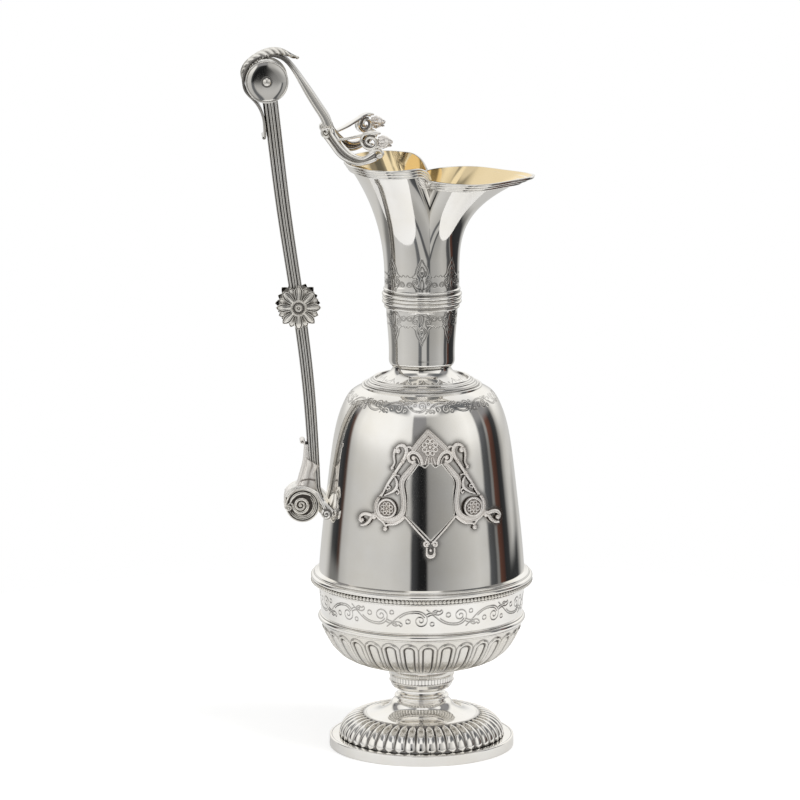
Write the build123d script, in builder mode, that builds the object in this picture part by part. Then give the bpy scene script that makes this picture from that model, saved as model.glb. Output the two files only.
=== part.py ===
from build123d import *
import os
from math import atan2, cos, degrees, pi, radians, sin, sqrt

# Claret jug: a tall silver wine ewer on a spreading foot, with an open three-lobed lip and one fixed handle.
# Millimetres. +Z is up, the origin is the middle of the foot where it meets the table,
# -X is the handle side, +X is the spout side and -Y is the side that carries the cartouche.

os.makedirs("parts", exist_ok=True)

# ---------------------------------------------------------------- sheet and fits
wall = 1.0                      # sheet silver of every spun or raised shell
relief = 0.8                    # how far a tongue or an edge moulding stands proud

# ---------------------------------------------------------------- foot and stem
foot_radius = 47.8
foot_band_height = 5.6
foot_band_wall = 1.8
foot_ledge_width = 6.6          # flat ledge on top of the band, from its outer edge inwards
gadroon_count = 48
gadroon_foot_radius = 42.8      # outside of the gadroons where they stand on the ledge
gadroon_crest_radius = 29.6
gadroon_rise = 11.3
gadroon_groove = 1.05           # radius of the hollow between two gadroons
cavetto_rise = 8.3
collar_radius = 14.1
collar_height = 2.1
stem_neck_radius = 10.6
stem_neck_height = 2.7
cup_foot_radius = 15.9
cup_rim_radius = 18.6
cup_height = 13.0
mill_height = 3.0

# ---------------------------------------------------------------- bowl and girdle
bowl_radius = 51.6
bowl_height = 23.0
tongue_count = 32
tongue_border = 1.15            # width of the raised arch round a tongue
lower_ring_radius = 53.7
lower_ring_height = 5.0
band_foot_radius = 52.1
band_head_radius = 53.1
band_height = 14.5
girdle_radius = 57.3
girdle_height = 7.8
bead_count = 96
bead_radius = 0.95

# ---------------------------------------------------------------- body, shoulder and neck
body_height = 88.2              # from the girdle to the bend of the shoulder
body_foot_radius = 53.0
body_waist_radius = 49.0        # at the middle of the body's height
shoulder_bend_radius = 39.6
shoulder_rise = 8.4
moulding_outer_radius = 31.0
moulding_inner_radius = 23.5
moulding_proud = 0.9
cone_rise = 9.6
neck_foot_radius = 14.3
neck_belly_radius = 16.9
neck_head_radius = 18.6
neck_height = 36.0
neck_ring_radius = 20.4
neck_ring_height = 10.4

# ---------------------------------------------------------------- lip
lip_root_radius = 19.1
lip_height = 70.1               # from the joint under the neck ring to the rim of the side lobes
lip_straight = 6.5              # plain part of the lip inside the neck ring
lobe_drop = 7.8                 # the spout's rim lies this far below the side lobes' rim
lobe_back_reach = 39.0
lobe_half_width = 37.6
spout_reach = 57.7
spout_half_width = 33.0
pinch_x = 2.8                   # where the two creases stand, ahead of the axis
pinch_half_width = 16.2
crease_start = 15.0             # the creases begin this far above the foot of the flare
rim_wire_height = 5.2
rim_wire_proud = 1.3

# ---------------------------------------------------------------- handle
shaft_head_x = -78.0            # middle line of the shaft inside the drum
shaft_foot_x = -56.0            # middle line of the shaft inside the sleeve
shaft_head_width = 7.9          # fore and aft
shaft_foot_width = 5.8
shaft_head_depth = 12.0         # side to side
shaft_foot_depth = 9.6
shaft_foot_above_girdle = 44.5
reed_count = 4
reed_groove = 0.55
drum_x = -78.9
drum_above_rim = 41.8           # height of the drum's middle above the rim of the side lobes
drum_radius = 10.2
drum_length = 15.4
disc_radius = 10.9
disc_thickness = 1.3
pin_radius = 1.1
pin_head_radius = 2.2
strap_thickness = 1.3
strap_half_width = 8.0
leaf_thickness = 1.5
leaf_half_width = 9.2
rosette_radius = 11.0
rosette_thickness = 2.2
rosette_above_girdle = 138.6
rosette_x = -63.2
arm_thickness = 3.2
arm_spread = 37.2               # half the distance between the middles of the two fork arms
lion_head_radius = 3.7
volute_radius = 8.7
volute_length = 14.0
volute_x = -61.6
volute_above_girdle = 35.1
sleeve_wall = 1.1
back_strip_thickness = 1.1
back_strip_half_width = 4.4
bracket_thickness = 1.5
bracket_half_width = 8.0
roll_radius = 2.8
roll_sweep = 44.0               # degrees of the body that the bracket's roll embraces

# ---------------------------------------------------------------- cartouche
frame_proud = 1.7
plate_proud = 1.1
frame_band = 2.4
plate_half_width = 12.0
plate_height = 38.3
plate_point_above_girdle = 26.0
roundel_radius = 5.0
roundel_spread = 22.3
roundel_proud = 2.9
top_roundel_radius = 4.1

# ---------------------------------------------------------------- levels, bottom to top
ledge_top = foot_band_height
gadroon_top = ledge_top + gadroon_rise
collar_bottom = gadroon_top + cavetto_rise
stem_neck_bottom = collar_bottom + collar_height
cup_bottom = stem_neck_bottom + stem_neck_height
bowl_bottom = cup_bottom + cup_height
bowl_top = bowl_bottom + bowl_height
lower_ring_top = bowl_top + lower_ring_height
band_top = lower_ring_top + band_height
girdle_top = band_top + girdle_height
shoulder_bend = girdle_top + body_height
shoulder_top = shoulder_bend + shoulder_rise
cone_top = shoulder_top + cone_rise
neck_top = cone_top + neck_height
neck_ring_bottom = neck_top - neck_ring_height / 2
neck_ring_top = neck_top + neck_ring_height / 2
flare_bottom = neck_top + lip_straight
lobe_rim = neck_top + lip_height
spout_rim = lobe_rim - lobe_drop
drum_z = lobe_rim + drum_above_rim
rosette_z = girdle_top + rosette_above_girdle
volute_z = girdle_top + volute_above_girdle
shaft_foot_z = girdle_top + shaft_foot_above_girdle
plate_point_z = girdle_top + plate_point_above_girdle


def finish(shape, name):
    shape.part.label = name
    export_step(shape.part, "parts/" + name + ".step")


# ================================================================ foot and stem
with BuildPart() as foot_band:
    with BuildSketch(Plane.XZ):
        with BuildLine():
            Polyline(
                (foot_radius - foot_band_wall, 0),
                (foot_radius, 0),
                (foot_radius, foot_band_height),
                (foot_radius - foot_ledge_width, foot_band_height),
                (foot_radius - foot_ledge_width, foot_band_height - wall),
                (foot_radius - foot_band_wall, foot_band_height - wall),
                close=True,
            )
        make_face()
    revolve(axis=Axis.Z)
    fillet(foot_band.edges().filter_by(GeomType.CIRCLE).group_by(SortBy.RADIUS)[-1], foot_band_wall / 4)
finish(foot_band, "foot_band")


def foot_profile(inset):
    # outline of the gadroons and the concave neck above them, moved inwards by inset
    dome = Spline(
        (gadroon_foot_radius - inset, ledge_top),
        (gadroon_foot_radius * 0.965 - inset * 0.8, ledge_top + gadroon_rise * 0.47 - inset * 0.5),
        (gadroon_crest_radius + 4.0, gadroon_top - 0.5 - inset),
        (gadroon_crest_radius, gadroon_top - inset),
        tangents=((0, 1), (-1, 0)),
    )
    hollow = Spline(
        (gadroon_crest_radius - 1.0, gadroon_top - 0.4 - inset),
        (gadroon_crest_radius * 0.69 - inset * 0.3, gadroon_top + cavetto_rise * 0.41 - inset),
        (collar_radius - 0.9 - inset, collar_bottom),
        tangents=((-1, 0.35), (-0.3, 1)),
    )
    Line(dome @ 1, hollow @ 0)
    return dome @ 0, hollow @ 1


with BuildPart() as foot_dome:
    with BuildSketch(Plane.XZ):
        with BuildLine():
            outer_start, outer_end = foot_profile(0)
            inner_start, inner_end = foot_profile(2 * wall)
            Line(outer_start, inner_start)
            Line(outer_end, inner_end)
        make_face()
    revolve(axis=Axis.Z)

with BuildPart() as gadroon_hollow:
    with BuildLine(Plane.XZ) as hollow_path:
        Spline(
            (gadroon_foot_radius + 0.25, ledge_top - 0.5),
            (gadroon_foot_radius * 0.965 + 0.1, ledge_top + gadroon_rise * 0.47),
            (gadroon_crest_radius + 4.0, gadroon_top - 0.25),
            (gadroon_crest_radius + 0.6, gadroon_top + 0.7),
            tangents=((0, 1), (-1, 0.3)),
        )
    with BuildSketch(Plane(hollow_path.line @ 0, x_dir=(0, 1, 0), z_dir=hollow_path.line % 0)):
        RegularPolygon(gadroon_groove, 6)
    sweep()

with BuildPart() as foot_dome_gadrooned:
    add(foot_dome.part)
    with PolarLocations(0, gadroon_count, start_angle=180 / gadroon_count):
        add(gadroon_hollow.part, mode=Mode.SUBTRACT)
finish(foot_dome_gadrooned, "foot_dome")

with BuildPart() as stem_collar:
    with BuildSketch(Plane.XZ):
        with BuildLine():
            foot = (collar_radius - 0.9 - 2 * wall, collar_bottom)
            flange_under = (collar_radius - 0.6, collar_bottom)
            flange_over = (collar_radius - 0.8, stem_neck_bottom - 0.5)
            waist = (stem_neck_radius, stem_neck_bottom + 0.6)
            head = (stem_neck_radius, cup_bottom)
            bore = stem_neck_radius - wall
            Line(foot, flange_under)
            ThreePointArc(flange_under, (collar_radius, (flange_under[1] + flange_over[1]) / 2), flange_over)
            Spline(flange_over, waist, head, tangents=((-1, 0.2), (0, 1)))
            Polyline(head, (bore, cup_bottom), (bore, collar_bottom), foot)
        make_face()
    revolve(axis=Axis.Z)
finish(stem_collar, "stem_collar")

mill_bottom = cup_bottom + cup_height * 0.36
with BuildPart() as stem_cup:
    with BuildSketch(Plane.XZ):
        with BuildLine():
            under = Spline(
                (stem_neck_radius, cup_bottom),
                (cup_foot_radius - 1.4, cup_bottom + 1.2),
                (cup_foot_radius, cup_bottom + cup_height * 0.22),
                tangents=((1, 0.05), (0.15, 1)),
            )
            side = Polyline(
                under @ 1,
                (cup_foot_radius + 0.35, mill_bottom - 0.4),
                (cup_foot_radius + 0.9, mill_bottom),
                (cup_foot_radius + 1.15, mill_bottom + mill_height),
                (cup_foot_radius + 0.75, mill_bottom + mill_height + 0.5),
                (cup_rim_radius - 0.9, bowl_bottom - 2.6),
                (cup_rim_radius - 0.9, bowl_bottom - 1.4),
                (cup_rim_radius, bowl_bottom - 1.0),
                (cup_rim_radius, bowl_bottom),
            )
            inside = Polyline(
                side @ 1,
                (cup_rim_radius - 2.6 * wall, bowl_bottom),
                (cup_foot_radius - 1.6 * wall, cup_bottom + 2.4),
                (stem_neck_radius - wall, cup_bottom + wall),
                (stem_neck_radius - wall, cup_bottom),
                under @ 0,
            )
        make_face()
    revolve(axis=Axis.Z)
finish(stem_cup, "stem_cup")


# ================================================================ bowl with its tongues
def bowl_line(grow):
    # half outline of the bowl from its foot to its brim, moved outwards by grow
    return Spline(
        (cup_rim_radius - 0.4, bowl_bottom - grow),
        (bowl_radius * 0.6 + grow * 0.3, bowl_bottom + bowl_height * 0.115 - grow),
        (bowl_radius * 0.776 + grow * 0.6, bowl_bottom + bowl_height * 0.27 - grow * 0.8),
        (bowl_radius * 0.876 + grow * 0.8, bowl_bottom + bowl_height * 0.47 - grow * 0.6),
        (bowl_radius * 0.95 + grow, bowl_bottom + bowl_height * 0.74 - grow * 0.2),
        (bowl_radius + grow, bowl_top),
        tangents=((1, 0.07), (0.3, 1)),
    )


with BuildPart() as bowl_shell:
    with BuildSketch(Plane.XZ):
        with BuildLine():
            outside = bowl_line(0)
            within = bowl_line(-wall)
            Polyline(outside @ 0, (0, bowl_bottom), (0, bowl_bottom + wall), within @ 0)
            Line(outside @ 1, within @ 1)
        make_face()
    revolve(axis=Axis.Z)

with BuildPart() as tongue_skin:
    with BuildSketch(Plane.XZ):
        with BuildLine():
            outside = bowl_line(relief)
            within = bowl_line(-wall / 2)
            Line(outside @ 0, within @ 0)
            Line(outside @ 1, within @ 1)
        make_face()
    revolve(axis=Axis.Z)

tongue_head_width = 2 * pi * bowl_radius * 0.95 / tongue_count * 0.94
tongue_foot_width = 2 * pi * cup_rim_radius * 1.15 / tongue_count * 0.94
tongue_head_z = bowl_top - 1.6 - tongue_head_width / 2


def tongue_outline(inset):
    # a round-headed panel seen from outside, narrowing towards the foot
    head = tongue_head_width / 2 - inset
    foot = tongue_foot_width / 2 - inset * 0.7
    Polyline((head, tongue_head_z), (foot, bowl_bottom - 2), (-foot, bowl_bottom - 2), (-head, tongue_head_z))
    ThreePointArc((head, tongue_head_z), (0, tongue_head_z + head), (-head, tongue_head_z))


with BuildPart() as tongue:
    with BuildSketch(Plane.XZ.offset(cup_rim_radius)):
        with BuildLine():
            tongue_outline(0)
        make_face()
        with BuildLine(mode=Mode.PRIVATE) as inner_line:
            tongue_outline(tongue_border)
        make_face(inner_line.edges(), mode=Mode.SUBTRACT)
    extrude(amount=bowl_radius)
    add(tongue_skin.part, mode=Mode.INTERSECT)

with BuildPart() as bowl:
    add(bowl_shell.part)
    with PolarLocations(0, tongue_count):
        add(tongue.part)
finish(bowl, "bowl")

# ================================================================ rings, band and girdle
with BuildPart() as lower_ring:
    with BuildSketch(Plane.XZ):
        with BuildLine():
            bore = bowl_radius - wall
            fillet_height = lower_ring_height / 5
            reed_top = (band_foot_radius + 0.3, lower_ring_top - fillet_height)
            reed_bottom = (bowl_radius + 0.6, bowl_top + fillet_height)
            Polyline(
                reed_bottom,
                (bowl_radius + 0.9, bowl_top + fillet_height * 0.7),
                (bowl_radius + 0.3, bowl_top),
                (bore, bowl_top),
                (bore, lower_ring_top),
                (band_foot_radius + 0.2, lower_ring_top),
                (band_foot_radius + 0.6, lower_ring_top - fillet_height * 0.7),
                reed_top,
            )
            ThreePointArc(reed_top, (lower_ring_radius, bowl_top + lower_ring_height / 2), reed_bottom)
        make_face()
    revolve(axis=Axis.Z)
finish(lower_ring, "lower_ring")

with BuildPart() as body_band:
    with BuildSketch(Plane.XZ):
        with BuildLine():
            Polyline(
                (band_foot_radius, lower_ring_top),
                (band_head_radius, band_top),
                (band_head_radius - wall, band_top),
                (band_foot_radius - wall, lower_ring_top),
                close=True,
            )
        make_face()
    revolve(axis=Axis.Z)
finish(body_band, "body_band")

bead_z = band_top + girdle_height * 0.33
bead_ring_radius = girdle_radius - 1.15
with BuildPart() as girdle:
    with BuildSketch(Plane.XZ):
        with BuildLine():
            Polyline(
                (body_foot_radius, girdle_top),
                (body_foot_radius - wall, girdle_top),
                (band_head_radius - wall, band_top),
                (band_head_radius + 1.4, band_top),
                (bead_ring_radius - bead_radius, bead_z - bead_radius * 1.15),
                (bead_ring_radius - bead_radius * 0.4, bead_z),
                (bead_ring_radius - bead_radius * 0.2, bead_z + bead_radius * 1.1),
            )
            ThreePointArc(
                (bead_ring_radius - bead_radius * 0.2, bead_z + bead_radius * 1.1),
                (girdle_radius, bead_z + bead_radius * 1.1 + girdle_height * 0.2),
                (girdle_radius - 1.6, girdle_top - 0.6),
            )
            Line((girdle_radius - 1.6, girdle_top - 0.6), (body_foot_radius, girdle_top))
        make_face()
    revolve(axis=Axis.Z)

with BuildPart() as girdle_beads:
    with PolarLocations(bead_ring_radius, bead_count):
        with Locations((0, 0, bead_z)):
            Box(bead_radius * 1.5, bead_radius * 1.5, bead_radius * 1.7, rotation=(45, 0, 0))
    add(girdle.part, mode=Mode.SUBTRACT)
finish(girdle, "girdle")
finish(girdle_beads, "girdle_beads")


# ================================================================ body and shoulder
def body_line(grow):
    # half outline of the body from the girdle over the shoulder, moved outwards by grow
    side = Spline(
        (body_foot_radius + grow, girdle_top),
        (body_waist_radius + grow, girdle_top + body_height * 0.46),
        (body_waist_radius * 0.945 + grow, girdle_top + body_height * 0.71),
        (shoulder_bend_radius + grow, shoulder_bend),
        tangents=((-0.06, 1), (-0.5, 1)),
    )
    shoulder = Spline(
        side @ 1,
        (shoulder_bend_radius - 3.0 + grow * 0.7, shoulder_bend + shoulder_rise * 0.53 + grow * 0.7),
        (moulding_outer_radius - 0.4 * grow, shoulder_top - 0.6 + grow),
        (moulding_inner_radius + 3.0, shoulder_top + 1.6 + grow),
        tangents=((-0.5, 1), (-1, 0.42)),
    )
    return side @ 0, shoulder @ 1


joint_radius = moulding_inner_radius + 3.0
with BuildPart() as body:
    with BuildSketch(Plane.XZ):
        with BuildLine():
            outer_start, outer_end = body_line(0)
            inner_start, inner_end = body_line(-wall)
            Line(outer_start, inner_start)
            Line(outer_end, inner_end)
        make_face()
    revolve(axis=Axis.Z)
finish(body, "body")


def cone_line(grow):
    # concave rise from the shoulder joint to the foot of the neck
    return Spline(
        (joint_radius, shoulder_top + 1.6 + grow),
        (moulding_inner_radius - 4.6 + grow * 0.3, shoulder_top + cone_rise * 0.52 + grow),
        (neck_foot_radius + 0.6 + grow, cone_top),
        tangents=((-1, 0.42), (-0.15, 1)),
    )


with BuildPart() as shoulder_cone:
    with BuildSketch(Plane.XZ):
        with BuildLine():
            outside = cone_line(0)
            within = cone_line(-wall)
            Line(outside @ 0, within @ 0)
            Line(outside @ 1, within @ 1)
        make_face()
    revolve(axis=Axis.Z)
finish(shoulder_cone, "shoulder_cone")

with BuildPart() as shoulder_moulding:
    with BuildSketch(Plane.XZ):
        with BuildLine():
            inner_z = shoulder_top + 3.3
            outer_z = shoulder_top - 0.4
            middle_radius = (moulding_outer_radius + moulding_inner_radius) / 2
            Polyline(
                (moulding_inner_radius, inner_z - 1.6),
                (moulding_inner_radius, inner_z + moulding_proud),
                (moulding_inner_radius + 1.2, inner_z + moulding_proud - 0.2),
                (moulding_inner_radius + 1.7, inner_z - 0.3),
                (middle_radius, shoulder_top + 1.6 + moulding_proud),
                (middle_radius + 1.2, shoulder_top + 1.0 + moulding_proud),
                (middle_radius + 1.8, shoulder_top + 1.0),
                (moulding_outer_radius - 0.8, outer_z + moulding_proud + 0.4),
                (moulding_outer_radius, outer_z + moulding_proud - 0.3),
                (moulding_outer_radius, outer_z - 1.6),
                close=True,
            )
        make_face()
    revolve(axis=Axis.Z)
    add(body.part, mode=Mode.SUBTRACT)
    add(shoulder_cone.part, mode=Mode.SUBTRACT)
# what is left under the shells is cut away, so that the moulding is only the applied ring
with BuildPart() as shoulder_core:
    with BuildSketch(Plane.XZ):
        with BuildLine():
            outer_start, outer_end = body_line(-wall / 2)
            slope = cone_line(-wall / 2)
            Polyline(outer_start, (0, girdle_top), (0, cone_top), slope @ 1)
        make_face()
    revolve(axis=Axis.Z)
with BuildPart() as shoulder_ring:
    add(shoulder_moulding.part)
    add(shoulder_core.part, mode=Mode.SUBTRACT)
finish(shoulder_ring, "shoulder_moulding")


# ================================================================ neck
def neck_line(grow):
    return Spline(
        (neck_foot_radius + grow, cone_top),
        (neck_belly_radius - 0.9 + grow, cone_top + 2.6),
        (neck_belly_radius + grow, cone_top + 6.8),
        (neck_head_radius - 0.35 + grow, neck_ring_bottom - 1.0),
        tangents=((1, 0.35), (0.04, 1)),
    )


with BuildPart() as neck:
    with BuildSketch(Plane.XZ):
        with BuildLine():
            outside = neck_line(0)
            within = neck_line(-wall)
            Line(outside @ 0, within @ 0)
            Polyline(
                outside @ 1,
                (neck_head_radius, neck_ring_bottom),
                (neck_head_radius, neck_top),
                (neck_head_radius - wall, neck_top),
                (neck_head_radius - wall, neck_ring_bottom),
                within @ 1,
            )
        make_face()
    revolve(axis=Axis.Z)
finish(neck, "neck")

with BuildPart() as neck_ring:
    with BuildSketch(Plane.XZ):
        with BuildLine():
            step = neck_ring_height / 10
            crest = neck_ring_radius
            base = lip_root_radius + 0.25
            Polyline(
                (base + 0.4, neck_ring_top - step),
                (base + 0.4, neck_ring_top),
                (lip_root_radius, neck_ring_top),
                (lip_root_radius, neck_top),
                (neck_head_radius, neck_top),
                (neck_head_radius, neck_ring_bottom),
                (neck_head_radius + 0.5, neck_ring_bottom),
                (neck_head_radius + 0.5, neck_ring_bottom + step),
                (base, neck_ring_bottom + step * 1.4),
                (base, neck_ring_bottom + step * 2.2),
            )
            ThreePointArc(
                (base, neck_ring_bottom + step * 2.2),
                (crest, neck_ring_bottom + step * 3.3),
                (base + 0.3, neck_ring_bottom + step * 4.4),
            )
            ThreePointArc(
                (base + 0.3, neck_ring_bottom + step * 4.4),
                (crest - 0.1, neck_ring_bottom + step * 5.2),
                (base + 0.3, neck_ring_bottom + step * 6.0),
            )
            ThreePointArc(
                (base + 0.3, neck_ring_bottom + step * 6.0),
                (crest + 0.1, neck_ring_bottom + step * 7.1),
                (base, neck_ring_bottom + step * 8.2),
            )
            Line((base, neck_ring_bottom + step * 8.2), (base + 0.4, neck_ring_top - step))
        make_face()
    revolve(axis=Axis.Z)
finish(neck_ring, "neck_ring")

# ================================================================ lip
flare_levels = (0.0, 0.12, 0.25, 0.38, 0.51, 0.64, 0.76, 0.86, 0.93, 1.0)
spout_level = (spout_rim - flare_bottom) / (lobe_rim - flare_bottom)
crease_level = crease_start / (lobe_rim - flare_bottom)


def lip_outline(level, grow):
    # plan of the lip at a height from 0 (foot of the flare) to 1 (rim of the side lobes)
    if level == 0:
        radius = lip_root_radius + grow
        pinch = sqrt(radius**2 - pinch_x**2)
        for half in (-1, 1):
            ThreePointArc((-radius, 0), (-radius * sqrt(0.5), half * radius * sqrt(0.5)), (pinch_x, half * pinch))
            ThreePointArc((pinch_x, half * pinch), (radius * sqrt(0.5), half * radius * sqrt(0.5)), (radius, 0))
        return
    back = lip_root_radius + (lobe_back_reach - lip_root_radius) * level**2.3
    side = lip_root_radius + (lobe_half_width - lip_root_radius) * level**2.3
    reach = min(level / spout_level, 1.08)
    spout = lip_root_radius + (spout_reach - lip_root_radius) * reach**3.8
    spout_side = lip_root_radius + (spout_half_width - lip_root_radius) * reach**2.6
    crease = max(0.0, (level - crease_level) / (spout_level - crease_level))
    pinched = min(crease**1.2, 1.0)
    round_half = sqrt(back**2 - pinch_x**2)
    pinch = round_half * (1 - pinched) + pinch_half_width * pinched + grow * pinched
    round_angle = degrees(atan2(pinch_x, round_half))
    lobe_angle = radians(round_angle * (1 - pinched) + 78 * pinched)
    spout_angle = radians(round_angle * (1 - pinched) - 74 * pinched)
    widest_back = (0.35 + 0.14 * level) * back
    widest_ahead = pinch_x + (spout - pinch_x) * 0.42
    side_y = side * (1 - pinched) * 0.937 + side * pinched
    ahead_y = spout_side * (1 - pinched) * sqrt(max(0.05, 1 - (widest_ahead / spout) ** 2)) + spout_side * pinched
    taper_x = pinch_x + (spout - pinch_x) * 0.77
    round_taper = spout_side * sqrt(max(0.05, 1 - (taper_x / spout) ** 2))
    taper_y = round_taper * (1 - pinched) + spout_side * 0.55 * pinched
    for half in (-1, 1):
        Spline(
            (-back - grow, 0),
            (-widest_back, half * (side_y + grow)),
            (pinch_x, half * (pinch + grow)),
            tangents=((0, half), (cos(lobe_angle), -half * sin(lobe_angle))),
        )
        Spline(
            (pinch_x, half * (pinch + grow)),
            (widest_ahead, half * (ahead_y + grow)),
            (taper_x, half * (taper_y + grow)),
            (spout + grow, 0),
            tangents=((cos(spout_angle), -half * sin(spout_angle)), (0, -half)),
        )


lip_filled = []
for grow in (0, -wall, rim_wire_proud):
    with BuildPart() as filled:
        for level in flare_levels:
            with BuildSketch(Plane.XY.offset(flare_bottom + level * (lobe_rim - flare_bottom))):
                with BuildLine():
                    lip_outline(level, grow)
                make_face()
        loft()
        with BuildSketch(Plane.XY.offset(neck_top)):
            with BuildLine():
                lip_outline(0, grow)
            make_face()
        extrude(amount=lip_straight)
    lip_filled.append(filled.part)
lip_solid, lip_hollow, lip_grown = lip_filled


def rim_line(drop):
    # the rim seen from the side where it falls from the lobes to the spout, lowered by drop
    return Spline(
        (pinch_x - 8.0, lobe_rim - drop),
        (pinch_x - 2.6, lobe_rim - lobe_drop * 0.3 - drop),
        (pinch_x, spout_rim - drop),
        tangents=((1, 0), (0.15, -1)),
    )


with BuildPart() as rim_cut:
    with BuildSketch(Plane.XZ.offset(-2 * spout_reach)):
        with BuildLine():
            rim_line(0)
            Polyline(
                (pinch_x, spout_rim),
                (2 * spout_reach, spout_rim),
                (2 * spout_reach, lobe_rim + 10),
                (pinch_x - 8.0, lobe_rim + 10),
                (pinch_x - 8.0, lobe_rim),
            )
        make_face()
    extrude(amount=4 * spout_reach)

with BuildPart() as lip:
    add(lip_solid)
    add(lip_hollow, mode=Mode.SUBTRACT)
    add(rim_cut.part, mode=Mode.SUBTRACT)
finish(lip, "lip")

# ================================================================ rim wires
with BuildPart() as lobe_rim_wire:
    with BuildSketch(Plane.XZ.offset(-2 * spout_reach)):
        with BuildLine():
            high = rim_line(0)
            low = rim_line(rim_wire_height)
            Line(high @ 1, low @ 1)
            Polyline(
                high @ 0,
                (-2 * spout_reach, lobe_rim),
                (-2 * spout_reach, lobe_rim - rim_wire_height),
                low @ 0,
            )
        make_face()
    extrude(amount=4 * spout_reach)
    add(lip_grown, mode=Mode.INTERSECT)
    add(lip_solid, mode=Mode.SUBTRACT)
finish(lobe_rim_wire, "lobe_rim_wire")

with BuildPart() as spout_rim_wire:
    with Locations((pinch_x, 0, spout_rim - rim_wire_height * 0.85)):
        Box(
            2 * spout_reach,
            4 * spout_reach,
            rim_wire_height * 0.85,
            align=(Align.MIN, Align.CENTER, Align.MIN),
        )
    add(lip_grown, mode=Mode.INTERSECT)
    add(lip_solid, mode=Mode.SUBTRACT)
finish(spout_rim_wire, "spout_rim_wire")

# ================================================================ handle shaft and drum
shaft_height = drum_z - 7.0 - shaft_foot_z
# each station: its share of the shaft's height, and how far the shaft bows forward of a straight line there
shaft_stations = ((0.0, 1.0), (0.12, 2.4), (0.25, 3.4), (0.4, 3.3), (0.55, 2.2), (0.72, 1.0), (0.87, 0.7), (1.0, 0.5))

with BuildPart() as shaft_blank:
    for height, bow in shaft_stations:
        middle = shaft_foot_x + (shaft_head_x - shaft_foot_x) * height + bow
        width = shaft_foot_width + (shaft_head_width - shaft_foot_width) * height
        depth = shaft_foot_depth + (shaft_head_depth - shaft_foot_depth) * height
        first = middle - width / 2 + reed_groove
        last = middle + width / 2 - reed_groove
        pitch = (last - first) / reed_count
        valley = depth / 2 - reed_groove
        with BuildSketch(Plane.XY.offset(shaft_foot_z + shaft_height * height)):
            with BuildLine():
                for side in (-1, 1):
                    for reed in range(reed_count):
                        start = first + reed * pitch
                        ThreePointArc(
                            (start, side * valley),
                            (start + pitch / 2, side * depth / 2),
                            (start + pitch, side * valley),
                        )
                ThreePointArc((first, -valley), (middle - width / 2, 0), (first, valley))
                ThreePointArc((last, -valley), (middle + width / 2, 0), (last, valley))
            make_face()
    loft()

with BuildPart() as drum:
    with BuildSketch(Plane.XZ):
        with Locations((drum_x, drum_z)):
            Circle(drum_radius)
            Circle(pin_radius, mode=Mode.SUBTRACT)
    extrude(amount=drum_length / 2, both=True)
finish(drum, "drum")

with BuildPart() as handle_shaft:
    add(shaft_blank.part)
    with BuildSketch(Plane.XZ):
        with Locations((drum_x, drum_z)):
            Circle(drum_radius)
    extrude(amount=drum_length, both=True, mode=Mode.SUBTRACT)
finish(handle_shaft, "handle_shaft")

for name, side in (("drum_disc_near", 1), ("drum_disc_far", -1)):
    with BuildPart() as drum_disc:
        with BuildSketch(Plane.YZ.offset(drum_x)):
            with BuildLine():
                inner_y = -side * drum_length / 2
                outer_y = -side * (drum_length / 2 + disc_thickness)
                Polyline(
                    (inner_y, drum_z + pin_radius),
                    (inner_y, drum_z + disc_radius),
                    (outer_y, drum_z + disc_radius),
                    (outer_y, drum_z + disc_radius - 0.6),
                    (inner_y + (outer_y - inner_y) * 0.6, drum_z + disc_radius * 0.45),
                    (inner_y + (outer_y - inner_y) * 0.6, drum_z + pin_radius),
                    close=True,
                )
            make_face()
        revolve(axis=Axis((drum_x, 0, drum_z), (0, 1, 0)))
    finish(drum_disc, name)

with BuildPart() as drum_pin:
    with BuildSketch(Plane.YZ.offset(drum_x)):
        with BuildLine():
            seat = drum_length / 2 + disc_thickness * 0.6
            crown = seat + pin_head_radius * 0.75
            ThreePointArc(
                (-crown, drum_z),
                (-seat - pin_head_radius * 0.5, drum_z + pin_head_radius * 0.7),
                (-seat, drum_z + pin_head_radius),
            )
            ThreePointArc(
                (crown, drum_z),
                (seat + pin_head_radius * 0.5, drum_z + pin_head_radius * 0.7),
                (seat, drum_z + pin_head_radius),
            )
            Polyline(
                (-seat, drum_z + pin_head_radius),
                (-seat, drum_z + pin_radius),
                (seat, drum_z + pin_radius),
                (seat, drum_z + pin_head_radius),
            )
            Line((-crown, drum_z), (crown, drum_z))
        make_face()
    revolve(axis=Axis((drum_x, 0, drum_z), (0, 1, 0)))
finish(drum_pin, "drum_pin")


# ================================================================ strap over the drum
def round_drum(angle, radius):
    # a point of the side view at an angle and a distance from the drum's middle
    return (drum_x + radius * cos(radians(angle)), drum_z + radius * sin(radians(angle)))


def by_rim(along, up):
    # a point of the side view measured from the back of the rim
    return (-lobe_back_reach + along, lobe_rim + up)


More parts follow.
